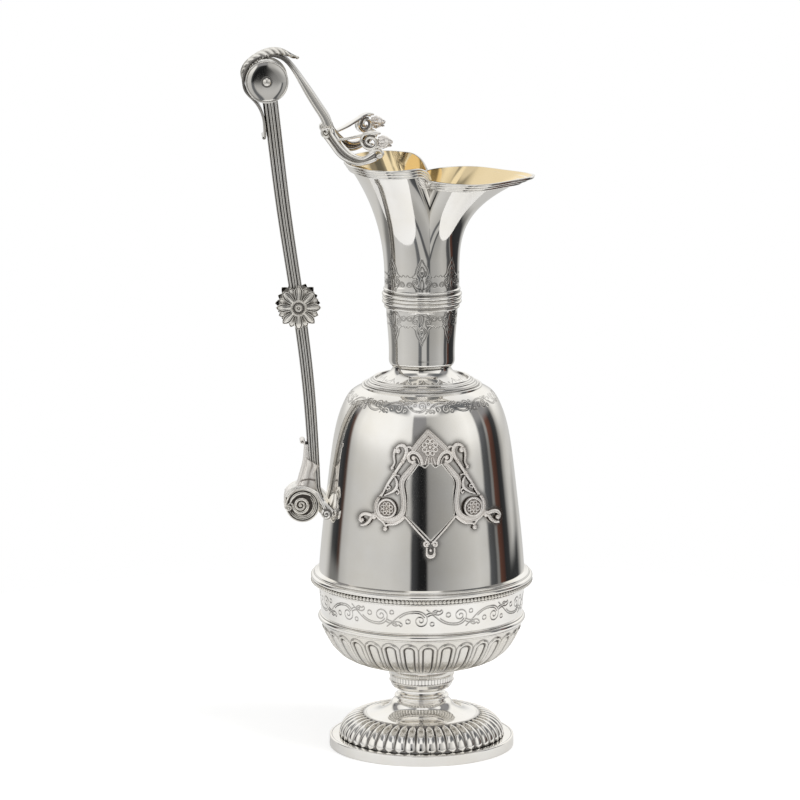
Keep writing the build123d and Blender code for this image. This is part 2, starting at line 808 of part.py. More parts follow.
strap_under = (
    round_drum(237, disc_radius + 0.1),
    round_drum(205, disc_radius + 0.2),
    round_drum(175, disc_radius + 0.2),
    round_drum(130, disc_radius + 0.8),
    round_drum(90, disc_radius + 1.5),
    round_drum(55, disc_radius + 2.6),
    round_drum(28, disc_radius + 3.4),
)
strap_over = (
    round_drum(237, disc_radius + 0.1 + strap_thickness),
    round_drum(205, disc_radius + 0.2 + strap_thickness),
    round_drum(175, disc_radius + 0.2 + strap_thickness),
    round_drum(130, disc_radius + 0.8 + strap_thickness),
    round_drum(90, disc_radius + 1.5 + strap_thickness),
    round_drum(58, disc_radius + 2.8 + strap_thickness * 1.3),
    round_drum(32, disc_radius + 5.8),
)
tail_x = shaft_foot_x + (shaft_head_x - shaft_foot_x) * 0.9 - shaft_head_width / 2
tail_z = shaft_foot_z + shaft_height * 0.9
with BuildPart() as handle_strap:
    with BuildSketch(Plane.XZ):
        with BuildLine():
            under = Spline(*strap_under)
            over = Spline(*strap_over)
            fall_under = Spline(under @ 1, by_rim(-19.2, 31.9), by_rim(-12.5, 21.7))
            fall_over = Spline(over @ 1, by_rim(-15.8, 34.8), by_rim(-7.2, 21.7))
            Polyline(fall_under @ 1, by_rim(-10.6, 14.0), by_rim(-5.6, 14.0), fall_over @ 1)
            Line(under @ 0, over @ 0)
        make_face()
        with BuildLine():
            tail_under = Spline(
                strap_under[0],
                (tail_x - 1.5, tail_z + 12.1),
                (tail_x + 0.3, tail_z + 5.5),
                (tail_x + 0.6, tail_z + 0.5),
            )
            tail_over = Spline(
                strap_over[0],
                (tail_x - 2.8, tail_z + 12.1),
                (tail_x - 1.0, tail_z + 5.5),
                (tail_x - 0.7, tail_z + 0.5),
            )
            Line(tail_under @ 0, tail_over @ 0)
            Line(tail_under @ 1, tail_over @ 1)
        make_face()
        with Locations((tail_x - 0.8, tail_z - 0.2)):
            Circle(1.1)
    extrude(amount=strap_half_width, both=True)
    add(shaft_blank.part, mode=Mode.SUBTRACT)
finish(handle_strap, "handle_strap")

with BuildPart() as strap_leaf:
    with BuildSketch(Plane.XZ):
        with BuildLine():
            root = round_drum(180, disc_radius + 0.2 + strap_thickness)
            under = Spline(
                root,
                strap_over[3],
                strap_over[4],
                round_drum(65, disc_radius + 4.2 + leaf_thickness * 0.2),
                round_drum(38, disc_radius + 8.6),
            )
            over = Spline(
                (root[0] - leaf_thickness * 0.6, root[1]),
                round_drum(133, disc_radius + 1.0 + strap_thickness + leaf_thickness),
                round_drum(92, disc_radius + 2.6 + strap_thickness + leaf_thickness),
                round_drum(68, disc_radius + 4.8 + leaf_thickness * 1.6),
                round_drum(40, disc_radius + 9.2),
            )
            Line(under @ 0, over @ 0)
            Line(under @ 1, over @ 1)
        make_face()
    extrude(amount=leaf_half_width, both=True)
    with BuildSketch(Plane.XY.offset(drum_z - 3 * disc_radius)):
        with BuildLine():
            leaf_left = drum_x - 1.3 * disc_radius
            leaf_right = drum_x + 1.6 * disc_radius
            for side in (-1, 1):
                Spline(
                    (leaf_left, side * leaf_half_width * 0.6),
                    (drum_x - 0.2 * disc_radius, side * leaf_half_width),
                    (drum_x + 0.8 * disc_radius, side * leaf_half_width * 0.75),
                    (leaf_right, side * 0.8),
                )
            Line((leaf_left, -leaf_half_width * 0.6), (leaf_left, leaf_half_width * 0.6))
            Line((leaf_right, -0.8), (leaf_right, 0.8))
        make_face()
    extrude(amount=6 * disc_radius, mode=Mode.INTERSECT)
    add(handle_strap.part, mode=Mode.SUBTRACT)
finish(strap_leaf, "strap_leaf")

# ================================================================ rosettes on the shaft
for name, side in (("rosette_near", 1), ("rosette_far", -1)):
    with BuildPart() as rosette:
        petal_plane = Plane((rosette_x, 0, rosette_z), x_dir=(1, 0, 0), z_dir=(0, -side, 0))
        with BuildSketch(petal_plane):
            Circle(rosette_radius * 0.62)
        extrude(amount=shaft_head_depth / 2 + 1.2)
        with BuildSketch(petal_plane.offset(shaft_head_depth / 2)):
            with PolarLocations(0, 8):
                Polygon(
                    (0, 0),
                    (rosette_radius * 0.55, -rosette_radius * 0.19),
                    (rosette_radius * 0.8, -rosette_radius * 0.23),
                    (rosette_radius * 0.95, -rosette_radius * 0.13),
                    (rosette_radius, 0),
                    (rosette_radius * 0.95, rosette_radius * 0.13),
                    (rosette_radius * 0.8, rosette_radius * 0.23),
                    (rosette_radius * 0.55, rosette_radius * 0.19),
                    align=None,
                )
        extrude(amount=rosette_thickness)
        with BuildSketch(petal_plane.offset(shaft_head_depth / 2)):
            with PolarLocations(0, 8, start_angle=22.5):
                Polygon(
                    (0, 0),
                    (rosette_radius * 0.6, -rosette_radius * 0.17),
                    (rosette_radius * 0.82, -rosette_radius * 0.12),
                    (rosette_radius * 0.9, 0),
                    (rosette_radius * 0.82, rosette_radius * 0.12),
                    (rosette_radius * 0.6, rosette_radius * 0.17),
                    align=None,
                )
        extrude(amount=rosette_thickness * 0.6)
        with BuildSketch(petal_plane.offset(shaft_head_depth / 2)):
            Circle(rosette_radius * 0.4)
        extrude(amount=rosette_thickness * 1.5)
        with BuildSketch(petal_plane.offset(shaft_head_depth / 2 + rosette_thickness * 1.5)):
            Circle(rosette_radius * 0.22)
        extrude(amount=rosette_thickness * 0.5, taper=30)
        add(shaft_blank.part, mode=Mode.SUBTRACT)
    finish(rosette, name)


# ================================================================ fork arms and lion heads
fork_arm_shapes = []
for name, side in (("fork_arm_near", -1), ("fork_arm_far", 1)):
    with BuildPart() as fork_arm:
        with BuildSketch(Plane.XZ):
            with BuildLine():
                lower = Spline(
                    by_rim(-10.9, 14.6),
                    by_rim(-8.4, 10.2),
                    by_rim(-4.2, 4.2),
                    by_rim(1.0, 0.8),
                    by_rim(5.4, 0.0),
                    by_rim(10.5, 1.6),
                    by_rim(15.6, 6.2),
                )
                upper = Spline(
                    by_rim(-6.4, 17.4),
                    by_rim(-3.0, 11.5),
                    by_rim(1.4, 7.2),
                    by_rim(5.6, 5.9),
                    by_rim(9.6, 7.2),
                    by_rim(13.0, 9.6),
                )
                Line(lower @ 0, upper @ 0)
                Line(lower @ 1, upper @ 1)
            make_face()
            with BuildLine():
                Polyline(
                    by_rim(-4.4, 12.4),
                    by_rim(-3.4, 14.6),
                    by_rim(5.0, 17.0),
                    by_rim(11.1, 19.5),
                    by_rim(16.7, 19.4),
                    by_rim(16.7, 16.0),
                    by_rim(9.0, 16.4),
                    by_rim(3.0, 14.4),
                    close=True,
                )
            make_face()
            with Locations(by_rim(11.4, 14.2)):
                Circle(5.3)
            with Locations(by_rim(15.6, 7.6)):
                Circle(2.2)
            with Locations(by_rim(-10.3, 16.5)):
                Circle(2.9)
        extrude(amount=2 * arm_spread, both=True)
        with BuildSketch(Plane.XY.offset(lobe_rim - 5)):
            with BuildLine():
                near_side = strap_half_width
                for edge in (0, arm_thickness):
                    start_y = near_side + edge
                    bend = edge * 0.75
                    run = Line((-lobe_back_reach - 16.0, side * start_y), (-lobe_back_reach - 9.5, side * start_y))
                    curve = Spline(
                        run @ 1,
                        (-lobe_back_reach + 1.6 - bend, side * (arm_spread * 0.54 + bend)),
                        (-lobe_back_reach + 7.4 - bend, side * (arm_spread * 0.75 + bend)),
                        (-lobe_back_reach + 12.6 - bend * 0.6, side * (arm_spread * 0.89 + edge * 0.95)),
                        (-lobe_back_reach + 19.0, side * (arm_spread - arm_thickness / 2 + edge)),
                        tangents=((1, 0.1 * side), (1, 0)),
                    )
                end_y = side * (arm_spread - arm_thickness / 2)
                Line((-lobe_back_reach - 16.0, side * near_side), (-lobe_back_reach - 16.0, side * start_y))
                Line((-lobe_back_reach + 19.0, end_y), curve @ 1)
            make_face()
        extrude(amount=40, mode=Mode.INTERSECT)
    finish(fork_arm, name)
    fork_arm_shapes.append(fork_arm.part)

for name, side in (("lion_head_near", -1), ("lion_head_far", 1)):
    head_x = -lobe_back_reach + 18.4
    head_y = side * arm_spread
    head_z = lobe_rim + 15.2
    with BuildPart() as lion_head:
        with Locations((head_x, head_y, head_z)):
            Sphere(lion_head_radius)
        with Locations(Plane((head_x + 2.0, head_y, head_z - 0.5), z_dir=(1, 0, -0.15))):
            Cone(2.5, 1.7, 3.0, align=(Align.CENTER, Align.CENTER, Align.MIN))
        for ear in (-1, 1):
            with Locations((head_x - 0.4, head_y + ear * 2.3, head_z + 3.0)):
                Sphere(1.1)
        add(fork_arm_shapes[0 if side < 0 else 1], mode=Mode.SUBTRACT)
    finish(lion_head, name)

# ================================================================ foot of the handle
with BuildPart() as body_core:
    with BuildSketch(Plane.XZ):
        with BuildLine():
            outer_start, outer_end = body_line(0)
            Polyline(outer_start, (0, girdle_top), (0, outer_end.Y), outer_end)
        make_face()
    revolve(axis=Axis.Z)

with BuildPart() as volute_drum:
    with BuildSketch(Plane.XZ):
        with Locations((volute_x, volute_z)):
            Circle(volute_radius)
    extrude(amount=volute_length / 2, both=True)
    for side in (-1, 1):
        face_plane = Plane((volute_x, side * volute_length / 2, volute_z), x_dir=(1, 0, 0), z_dir=(0, side, 0))
        with BuildSketch(face_plane):
            Circle(volute_radius * 0.82)
            Circle(volute_radius * 0.5, mode=Mode.SUBTRACT)
        extrude(amount=-0.9, mode=Mode.SUBTRACT)
    add(body_core.part, mode=Mode.SUBTRACT)
finish(volute_drum, "volute_drum")


def round_volute(angle, radius):
    # a point of the side view at an angle and a distance from the volute's middle
    return (volute_x + radius * cos(radians(angle)), volute_z + radius * sin(radians(angle)))


roll_z = volute_z - 3.2
body_face = body_waist_radius + 1.4
with BuildPart() as foot_bracket:
    with BuildSketch(Plane.XZ):
        with BuildLine():
            hug = CenterArc((volute_x, volute_z), volute_radius, 35, 115)
            cover = CenterArc((volute_x, volute_z), volute_radius + bracket_thickness, 38, 112)
            Line(hug @ 1, cover @ 1)
            Polyline(
                cover @ 0,
                (-body_face - 0.4, roll_z + 3.6),
                (-body_face + 6.0, roll_z),
                (-body_face - 0.6, roll_z - 0.6),
                hug @ 0,
            )
        make_face()
    extrude(amount=body_waist_radius, both=True)
    with BuildSketch(Plane.XY.offset(volute_z - 3 * volute_radius)):
        with BuildLine():
            flare = body_face * sin(radians(roll_sweep / 2))
            Polyline(
                (volute_x - 2 * volute_radius, -bracket_half_width),
                (volute_x + volute_radius * 0.3, -bracket_half_width),
                (-body_face * 0.93, -flare),
                (-body_face * 0.8, -flare),
                (-body_face * 0.8, flare),
                (-body_face * 0.93, flare),
                (volute_x + volute_radius * 0.3, bracket_half_width),
                (volute_x - 2 * volute_radius, bracket_half_width),
                close=True,
            )
        make_face()
    extrude(amount=6 * volute_radius, mode=Mode.INTERSECT)
    with BuildSketch(Plane.XZ.rotated((0, 0, -roll_sweep / 2))):
        with Locations((-body_face - roll_radius * 0.55, roll_z)):
            Circle(roll_radius)
    revolve(axis=Axis.Z, revolution_arc=roll_sweep)
    add(body_core.part, mode=Mode.SUBTRACT)
    add(volute_drum.part, mode=Mode.SUBTRACT)
    add(shaft_blank.part, mode=Mode.SUBTRACT)
finish(foot_bracket, "foot_bracket")

sleeve_top = shaft_foot_z + 15.5
with BuildPart() as sleeve_blank:
    with BuildSketch(Plane.XZ):
        with BuildLine():
            crown = volute_radius + bracket_thickness
            edge = Spline(
                (shaft_foot_x - 5.6, sleeve_top + 2.2),
                (shaft_foot_x - 6.2, sleeve_top - 5.0),
                (shaft_foot_x - 8.4, sleeve_top - 12.2),
                round_volute(125, crown),
            )
            Polyline(
                edge @ 1,
                (volute_x, volute_z),
                round_volute(42, crown),
                (shaft_foot_x + 2.2, shaft_foot_z + 3.6),
                (shaft_foot_x + 1.6, sleeve_top - 9.0),
                (shaft_foot_x + 3.4, sleeve_top - 3.8),
                (shaft_foot_x + 1.5, sleeve_top - 2.4),
                (shaft_foot_x - 0.2, sleeve_top - 1.8),
                (shaft_foot_x - 1.0, sleeve_top - 0.4),
                (shaft_foot_x - 3.4, sleeve_top + 0.4),
                edge @ 0,
            )
        make_face()
    extrude(amount=shaft_foot_depth / 2 + sleeve_wall, both=True)
    add(body_core.part, mode=Mode.SUBTRACT)

with BuildPart() as acanthus_sleeve:
    add(sleeve_blank.part)
    add(shaft_blank.part, mode=Mode.SUBTRACT)
    add(volute_drum.part, mode=Mode.SUBTRACT)
    add(foot_bracket.part, mode=Mode.SUBTRACT)
finish(acanthus_sleeve, "acanthus_sleeve")

knob_x = shaft_foot_x - 6.3
knob_z = sleeve_top + 9.0
with BuildPart() as handle_back_strip:
    with BuildSketch(Plane.XZ):
        with BuildLine():
            inner = Spline(
                (shaft_foot_x - 4.6, knob_z),
                (shaft_foot_x - 5.0, sleeve_top + 2.2),
                (shaft_foot_x - 5.9, sleeve_top - 5.0),
                (shaft_foot_x - 8.1, sleeve_top - 12.2),
                round_volute(130, volute_radius + bracket_thickness * 0.9),
                round_volute(160, volute_radius),
                round_volute(185, volute_radius - 0.8),
            )
            outer = Spline(
                (shaft_foot_x - 5.8, knob_z),
                (shaft_foot_x - 6.4, sleeve_top + 2.0),
                (shaft_foot_x - 7.3, sleeve_top - 5.4),
                (shaft_foot_x - 9.8, sleeve_top - 13.0),
                round_volute(132, volute_radius + bracket_thickness + back_strip_thickness),
                round_volute(160, volute_radius + back_strip_thickness * 1.2),
                round_volute(185, volute_radius + back_strip_thickness * 0.6),
            )
            Line(inner @ 0, outer @ 0)
            Line(inner @ 1, outer @ 1)
        make_face()
        with Locations((knob_x, knob_z + 0.4)):
            Circle(1.6)
        with Locations(round_volute(186, volute_radius - 0.9)):
            Circle(1.9)
    extrude(amount=back_strip_half_width, both=True)
    add(shaft_blank.part, mode=Mode.SUBTRACT)
    add(volute_drum.part, mode=Mode.SUBTRACT)
    add(foot_bracket.part, mode=Mode.SUBTRACT)
    add(acanthus_sleeve.part, mode=Mode.SUBTRACT)
finish(handle_back_strip, "handle_back_strip")

# ================================================================ cartouche
with BuildPart() as frame_skin:
    with BuildSketch(Plane.XZ):
        with BuildLine():
            outer_start, outer_end = body_line(frame_proud)
            inner_start, inner_end = body_line(0)
            Line(outer_start, inner_start)
            Line(outer_end, inner_end)
        make_face()
    revolve(axis=Axis.Z)

with BuildPart() as plate_skin:
    with BuildSketch(Plane.XZ):
        with BuildLine():
            outer_start, outer_end = body_line(plate_proud)
            inner_start, inner_end = body_line(0)
            Line(outer_start, inner_start)
            Line(outer_end, inner_end)
        make_face()
    revolve(axis=Axis.Z)


def on_plate(across, up):
    # a point of the front view: across in plate half widths, up in plate heights from its point
    return (across * plate_half_width, plate_point_z + up * plate_height)


plate_outline = (
    on_plate(0, 0),
    on_plate(1.03, 0.31),
    on_plate(0.97, 0.5),
    on_plate(1.0, 0.79),
    on_plate(0.5, 1.0),
    on_plate(0.19, 0.95),
    on_plate(0, 1.0),
    on_plate(-0.19, 0.95),
    on_plate(-0.5, 1.0),
    on_plate(-1.0, 0.79),
    on_plate(-0.97, 0.5),
    on_plate(-1.03, 0.31),
)

with BuildPart() as cartouche_plate:
    with BuildSketch(Plane.XZ.offset(body_waist_radius / 2)):
        Polygon(*plate_outline, align=None)
    extrude(amount=body_waist_radius)
    add(plate_skin.part, mode=Mode.INTERSECT)
finish(cartouche_plate, "cartouche_plate")


def bar(start, stop, width):
    # a straight bar of the strapwork with pointed ends
    run = Vector(*stop) - Vector(*start)
    across = Vector(-run.Y, run.X).normalized() * (width / 2)
    Polygon(
        (start[0] - across.X, start[1] - across.Y),
        (stop[0] - across.X, stop[1] - across.Y),
        (stop[0] + across.X, stop[1] + across.Y),
        (start[0] + across.X, start[1] + across.Y),
        align=None,
    )


roundel_z = plate_point_z + plate_height * 0.41
top_roundel_z = plate_point_z + plate_height * 1.2
apex_z = plate_point_z + plate_height * 1.45
with BuildPart() as cartouche_roundels:
    for middle_x, middle_z, radius in (
        (-roundel_spread, roundel_z, roundel_radius),
        (roundel_spread, roundel_z, roundel_radius),
        (0, top_roundel_z, top_roundel_radius),
    ):
        reach = sqrt(body_waist_radius**2 - middle_x**2)
        facing = Plane(
            (middle_x, -reach, middle_z),
            x_dir=(reach, middle_x, 0),
            z_dir=(middle_x, -reach, 0),
        )
        with BuildSketch(facing.offset(-3.0)):
            Circle(radius)
        extrude(amount=3.0 + roundel_proud - 1.0)
        with BuildSketch(facing.offset(roundel_proud - 1.0)):
            Circle(radius * 0.8)
        extrude(amount=0.8)
        with BuildSketch(facing.offset(roundel_proud - 0.2)):
            Circle(radius * 0.34)
        extrude(amount=0.6, taper=25)
    add(body_core.part, mode=Mode.SUBTRACT)
finish(cartouche_roundels, "cartouche_roundels")

with BuildPart() as cartouche_frame:
    with BuildSketch(Plane.XZ.offset(body_waist_radius / 2)):
        Polygon(*plate_outline, align=None)
        offset(amount=frame_band, kind=Kind.INTERSECTION)
        for side in (-1, 1):
            bar((side * -0.4, apex_z - 0.6), (side * 9.6, top_roundel_z - 2.0), 2.0)
            bar((side * 9.0, top_roundel_z - 3.0), (side * 3.0, top_roundel_z - 0.5), 1.8)
            bar((side * 11.2, top_roundel_z + 0.4), (side * roundel_spread, roundel_z + 7.0), 2.0)
            bar((side * 11.0, top_roundel_z - 6.0), (side * 17.5, roundel_z + 17.0), 1.6)
            bar((side * 10.5, roundel_z + 6.0), (side * 16.0, roundel_z + 9.0), 2.6)
            bar((side * 10.0, roundel_z - 6.5), (side * roundel_spread, roundel_z - 8.0), 2.6)
            bar((side * (roundel_spread + 3.5), roundel_z - 2.0), (side * 35.0, roundel_z - 5.4), 1.8)
            bar((side * 3.0, plate_point_z + 2.0), (side * 1.2, plate_point_z - 5.4), 1.8)
            with Locations((side * 8.9, top_roundel_z - 4.6)):
                Circle(2.5)
            with Locations((side * 16.8, roundel_z + 28.0)):
                Circle(1.4)
            bar((side * 12.4, roundel_z + 27.0), (side * 16.8, roundel_z + 28.2), 1.6)
            with Locations((side * roundel_spread, roundel_z)):
                Circle(roundel_radius + 1.8)
            with Locations((side * (roundel_spread - 0.4), roundel_z - 8.6)):
                Circle(1.9)
            with Locations((side * 35.0, roundel_z - 5.6)):
                Circle(1.5)
        with Locations((0, top_roundel_z)):
            Circle(top_roundel_radius + 1.0)
        with Locations((0, plate_point_z - 6.2)):
            Circle(2.5)
            Circle(1.2, mode=Mode.SUBTRACT)
        Polygon(*plate_outline, align=None, mode=Mode.SUBTRACT)
    extrude(amount=body_waist_radius)
    add(frame_skin.part, mode=Mode.INTERSECT)
    add(cartouche_roundels.part, mode=Mode.SUBTRACT)
finish(cartouche_frame, "cartouche_frame")
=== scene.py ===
import bpy
import bmesh
import math
import numpy as np
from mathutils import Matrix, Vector, kdtree


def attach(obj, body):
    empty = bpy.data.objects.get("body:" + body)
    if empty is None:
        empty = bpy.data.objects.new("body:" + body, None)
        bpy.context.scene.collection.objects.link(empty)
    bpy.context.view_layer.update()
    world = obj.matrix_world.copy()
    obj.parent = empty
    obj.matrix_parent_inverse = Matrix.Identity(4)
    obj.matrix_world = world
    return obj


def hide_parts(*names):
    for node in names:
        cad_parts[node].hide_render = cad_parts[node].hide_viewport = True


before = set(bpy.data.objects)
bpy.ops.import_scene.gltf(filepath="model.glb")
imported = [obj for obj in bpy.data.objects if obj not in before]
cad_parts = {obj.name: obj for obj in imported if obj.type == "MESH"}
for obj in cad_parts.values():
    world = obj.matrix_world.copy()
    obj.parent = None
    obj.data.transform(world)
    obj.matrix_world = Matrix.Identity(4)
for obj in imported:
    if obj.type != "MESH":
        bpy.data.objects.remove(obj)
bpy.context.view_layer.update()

mm = 0.001
print("frame loaded:", len(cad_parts), "nodes")

# Every size below is in millimetres, and meshFrom turns it into metres.


def smoothLine(points, steps, startDir=None, endDir=None):
    # cubic curve through all points, spaced by their distances, with optional end directions
    p = np.array(points, float)
    gaps = np.maximum(np.linalg.norm(np.diff(p, axis=0), axis=1), 1e-9)
    t = np.concatenate(([0], np.cumsum(gaps)))
    n = len(p)
    a = np.zeros((n, n))
    b = np.zeros_like(p)
    for i in range(1, n - 1):
        a[i, i - 1] = gaps[i]
        a[i, i] = 2 * (gaps[i - 1] + gaps[i])
        a[i, i + 1] = gaps[i - 1]
        b[i] = 3 * (gaps[i] * (p[i] - p[i - 1]) / gaps[i - 1] + gaps[i - 1] * (p[i + 1] - p[i]) / gaps[i])
    for row, wish, near in ((0, startDir, 1), (n - 1, endDir, n - 2)):
        a[row, row] = 2 if wish is None else 1
        if wish is None:
            a[row, near] = 1
            first, second = sorted((row, near))
            b[row] = 3 * (p[second] - p[first]) / gaps[first]
        else:
            b[row] = np.array(wish, float) / np.linalg.norm(wish)
    slope = np.linalg.solve(a, b)
    s = np.linspace(0, t[-1], steps)
    k = np.clip(np.searchsorted(t, s, side="right") - 1, 0, n - 2)
    h = gaps[k][:, None]
    u = ((s - t[k]) / gaps[k])[:, None]
    return ((2 * u**3 - 3 * u**2 + 1) * p[k] + (u**3 - 2 * u**2 + u) * h * slope[k]
            + (3 * u**2 - 2 * u**3) * p[k + 1] + (u**3 - u**2) * h * slope[k + 1])


def arcLine(centre, radius, start, stop, steps):
    # arc in a flat outline, angles in degrees
    angle = np.radians(np.linspace(start, stop, steps))
    return np.stack((centre[0] + radius * np.cos(angle), centre[1] + radius * np.sin(angle)), axis=1)


def spiralLine(centre, outer, inner, start, turns, steps=40):
    # flat spiral from its outer end inwards; negative turns go clockwise
    angle = math.radians(start) + np.linspace(0, 2 * math.pi * turns, steps)
    radius = np.linspace(outer, inner, steps)
    return np.stack((centre[0] + radius * np.cos(angle), centre[1] + radius * np.sin(angle)), axis=1)


def joinLines(*lines):
    return np.concatenate([np.atleast_2d(np.array(line, float)) for line in lines])


def lengthAlong(line):
    return np.concatenate(([0], np.cumsum(np.linalg.norm(np.diff(line, axis=0), axis=1))))


def spaced(line, count):
    # same line with a number of points at an even spacing
    run = lengthAlong(line)
    at = np.linspace(0, run[-1], count)
    return np.stack([np.interp(at, run, line[:, i]) for i in range(line.shape[1])], axis=1)


def evenLine(line, spacing):
    # same line with points about one spacing apart
    line = np.asarray(line, float)
    return spaced(line, max(2, int(round(lengthAlong(line)[-1] / spacing)) + 1))


def unit(vectors):
    # same directions, each of length 1
    return vectors / (np.linalg.norm(vectors, axis=-1, keepdims=True) + 1e-9)


def stretched(values, count):
    # one value, or several spread evenly, over a count of points
    values = np.atleast_1d(np.asarray(values, float))
    return np.interp(np.linspace(0, 1, count), np.linspace(0, 1, len(values)), values)


def around(piece, angle, radius):
    # point of the side view at an angle and a distance from the middle of a round piece
    return (piece["x"] + radius * math.cos(math.radians(angle)), piece["z"] + radius * math.sin(math.radians(angle)))


def pointsOf(mesh):
    # vertices of a mesh, in metres
    co = np.zeros(len(mesh.vertices) * 3)
    mesh.vertices.foreach_get("co", co)
    return co.reshape(-1, 3)


def dress(obj, material, slot, *replaced):
    # finish a piece, let it ride on the root, and say what it replaces
    obj.data.materials.clear()
    obj.data.materials.append(material)
    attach(obj, "root")
    if replaced:
        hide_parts(*replaced)
    return obj


def meshFrom(name, points, faces, recessAndShade=None, crease=40):
    mesh = bpy.data.meshes.new(name)
    points = np.asarray(points, float).reshape(-1, 3) * mm
    mesh.vertices.add(len(points))
    mesh.vertices.foreach_set("co", points.ravel())
    mesh.loops.add(faces.size)
    mesh.loops.foreach_set("vertex_index", faces.ravel())
    mesh.polygons.add(len(faces))
    mesh.polygons.foreach_set("loop_start", np.arange(0, faces.size, faces.shape[1]))
    mesh.update(calc_edges=True)
    mesh.validate()
    if recessAndShade is not None:
        layer = mesh.attributes.new("recessAndShade", "FLOAT", "POINT")
        layer.data.foreach_set("value", np.asarray(recessAndShade, float).ravel())
    mesh.shade_smooth()
    mesh.set_sharp_from_angle(angle=math.radians(crease))
    obj = bpy.data.objects.new(name, mesh)
    bpy.context.collection.objects.link(obj)
    return obj


def gridFaces(rows, cols, wrapRows, wrapCols):
    # four-sided faces of a grid, closed round its rows or its columns where asked
    r = np.arange(rows if wrapRows else rows - 1)
    c = np.arange(cols if wrapCols else cols - 1)
    r, c = [g.ravel() for g in np.meshgrid(r, c, indexing="ij")]
    rn = (r + 1) % rows
    cn = (c + 1) % cols
    return np.stack((r * cols + c, r * cols + cn, rn * cols + cn, rn * cols + c), axis=1)


def turnedPiece(name, outline, segments=256, relief=None, crease=30):
    # lathe work: closed outline of radius and height, outside first, going up; relief gives lift and darkness, for
    # recesses and painted shade
    outline = np.array(outline, float)
    angle = np.linspace(0, 2 * math.pi, segments, endpoint=False)
    r = np.repeat(outline[:, :1], segments, axis=1)
    z = np.repeat(outline[:, 1:], segments, axis=1)
    recessAndShade = None
    if relief is not None:
        ahead = np.roll(outline, -1, axis=0) - np.roll(outline, 1, axis=0)
        normal = unit(np.stack((ahead[:, 1], -ahead[:, 0]), axis=1))
        lift, recessAndShade = relief(angle, outline)
        r = r + lift * normal[:, :1]
        z = z + lift * normal[:, 1:]
    grid = np.stack((r * np.cos(angle), r * np.sin(angle), z), axis=2)
    return meshFrom(name, grid, gridFaces(len(outline), segments, True, True), recessAndShade, crease)


def darkRings(markOf):
    # relief without lift, whose darkness depends on the outline alone
    def relief(angle, outline):
        marks = np.clip(markOf(outline), 0, 1)
        return np.zeros((len(outline), len(angle))), np.repeat(marks[:, None], len(angle), axis=1)

    return relief


def tubeGrid(path, radius, sides=10, flat=1.0, up=(0, 0, 1)):
    # round or flattened wire along a path; the radius may change along it
    path = np.array(path, float)
    radius = np.broadcast_to(np.asarray(radius, float), (len(path),))
    ahead = unit(np.gradient(path, axis=0))
    side = unit(np.cross(ahead, np.broadcast_to(np.array(up, float), path.shape)))
    over = np.cross(side, ahead)
    turn = np.linspace(0, 2 * math.pi, sides, endpoint=False)
    ring = side[:, None, :] * np.cos(turn)[None, :, None] + flat * over[:, None, :] * np.sin(turn)[None, :, None]
    return path[:, None, :] + radius[:, None, None] * ring


def capped(grid):
    # wire with both ends rounded over
    ends = []
    for first, second in ((grid[0], grid[1]), (grid[-1], grid[-2])):
        middle = first.mean(axis=0)
        ahead = unit(middle - second.mean(axis=0))
        reach = np.linalg.norm(first - middle, axis=1).min()
        ends.append([middle + (first - middle) * wide + ahead * reach * out
                     for wide, out in ((0.87, 0.5), (0.5, 0.87), (0.02, 1.0))])
    return np.concatenate((ends[0][::-1], grid, ends[1]))


def ballGrid(centre, radius, rows=8, cols=12, squash=(1, 1, 1)):
    # round bead, open only by a pinhole at its poles
    rise = np.linspace(-math.pi / 2 + 0.02, math.pi / 2 - 0.02, rows)
    turn = np.linspace(0, 2 * math.pi, cols, endpoint=False)
    x = np.cos(rise)[:, None] * np.cos(turn)
    y = np.cos(rise)[:, None] * np.sin(turn)
    z = np.repeat(np.sin(rise)[:, None], cols, axis=1)
    return np.stack((x, y, z), axis=2) * np.array(squash) * radius + np.array(centre, float)


def piecesOf(name, parts, crease=50):
    # several grids make one piece; each part is a grid, its darkness or None, and whether its columns form a loop
    points, faces, marks, start = [], [], [], 0
    for grid, dark, looped in parts:
        rows, cols = grid.shape[:2]
        points.append(grid.reshape(-1, 3))
        faces.append(gridFaces(rows, cols, False, looped) + start)
        marks.append(np.broadcast_to(dark, (rows, cols)).ravel())
        start += rows * cols
    recessAndShade = None if parts[0][1] is None else np.concatenate(marks)
    return meshFrom(name, np.concatenate(points), np.concatenate(faces), recessAndShade, crease)


def cutDepth(u, v, lines, width):
    # 1 in the middle of a cut line, 0 beside it
    nearest = np.full(u.shape, 1e9)
    for line in lines:
        line = np.asarray(line, float)
        low = line.min(axis=0) - width
        high = line.max(axis=0) + width
        near = (u >= low[0]) & (u <= high[0]) & (v >= low[1]) & (v <= high[1])
        if not near.any():
            continue
        pu, pv = u[near], v[near]
        best = np.full(pu.shape, 1e9)
        for (ax, ay), (bx, by) in zip(line[:-1], line[1:]):
            dx, dy = bx - ax, by - ay
            t = np.clip(((pu - ax) * dx + (pv - ay) * dy) / (dx * dx + dy * dy + 1e-12), 0, 1)
            best = np.minimum(best, (pu - ax - t * dx) ** 2 + (pv - ay - t * dy) ** 2)
        nearest[near] = np.minimum(nearest[near], np.sqrt(best))
    return np.clip(1 - nearest / width, 0, 1) ** 0.6


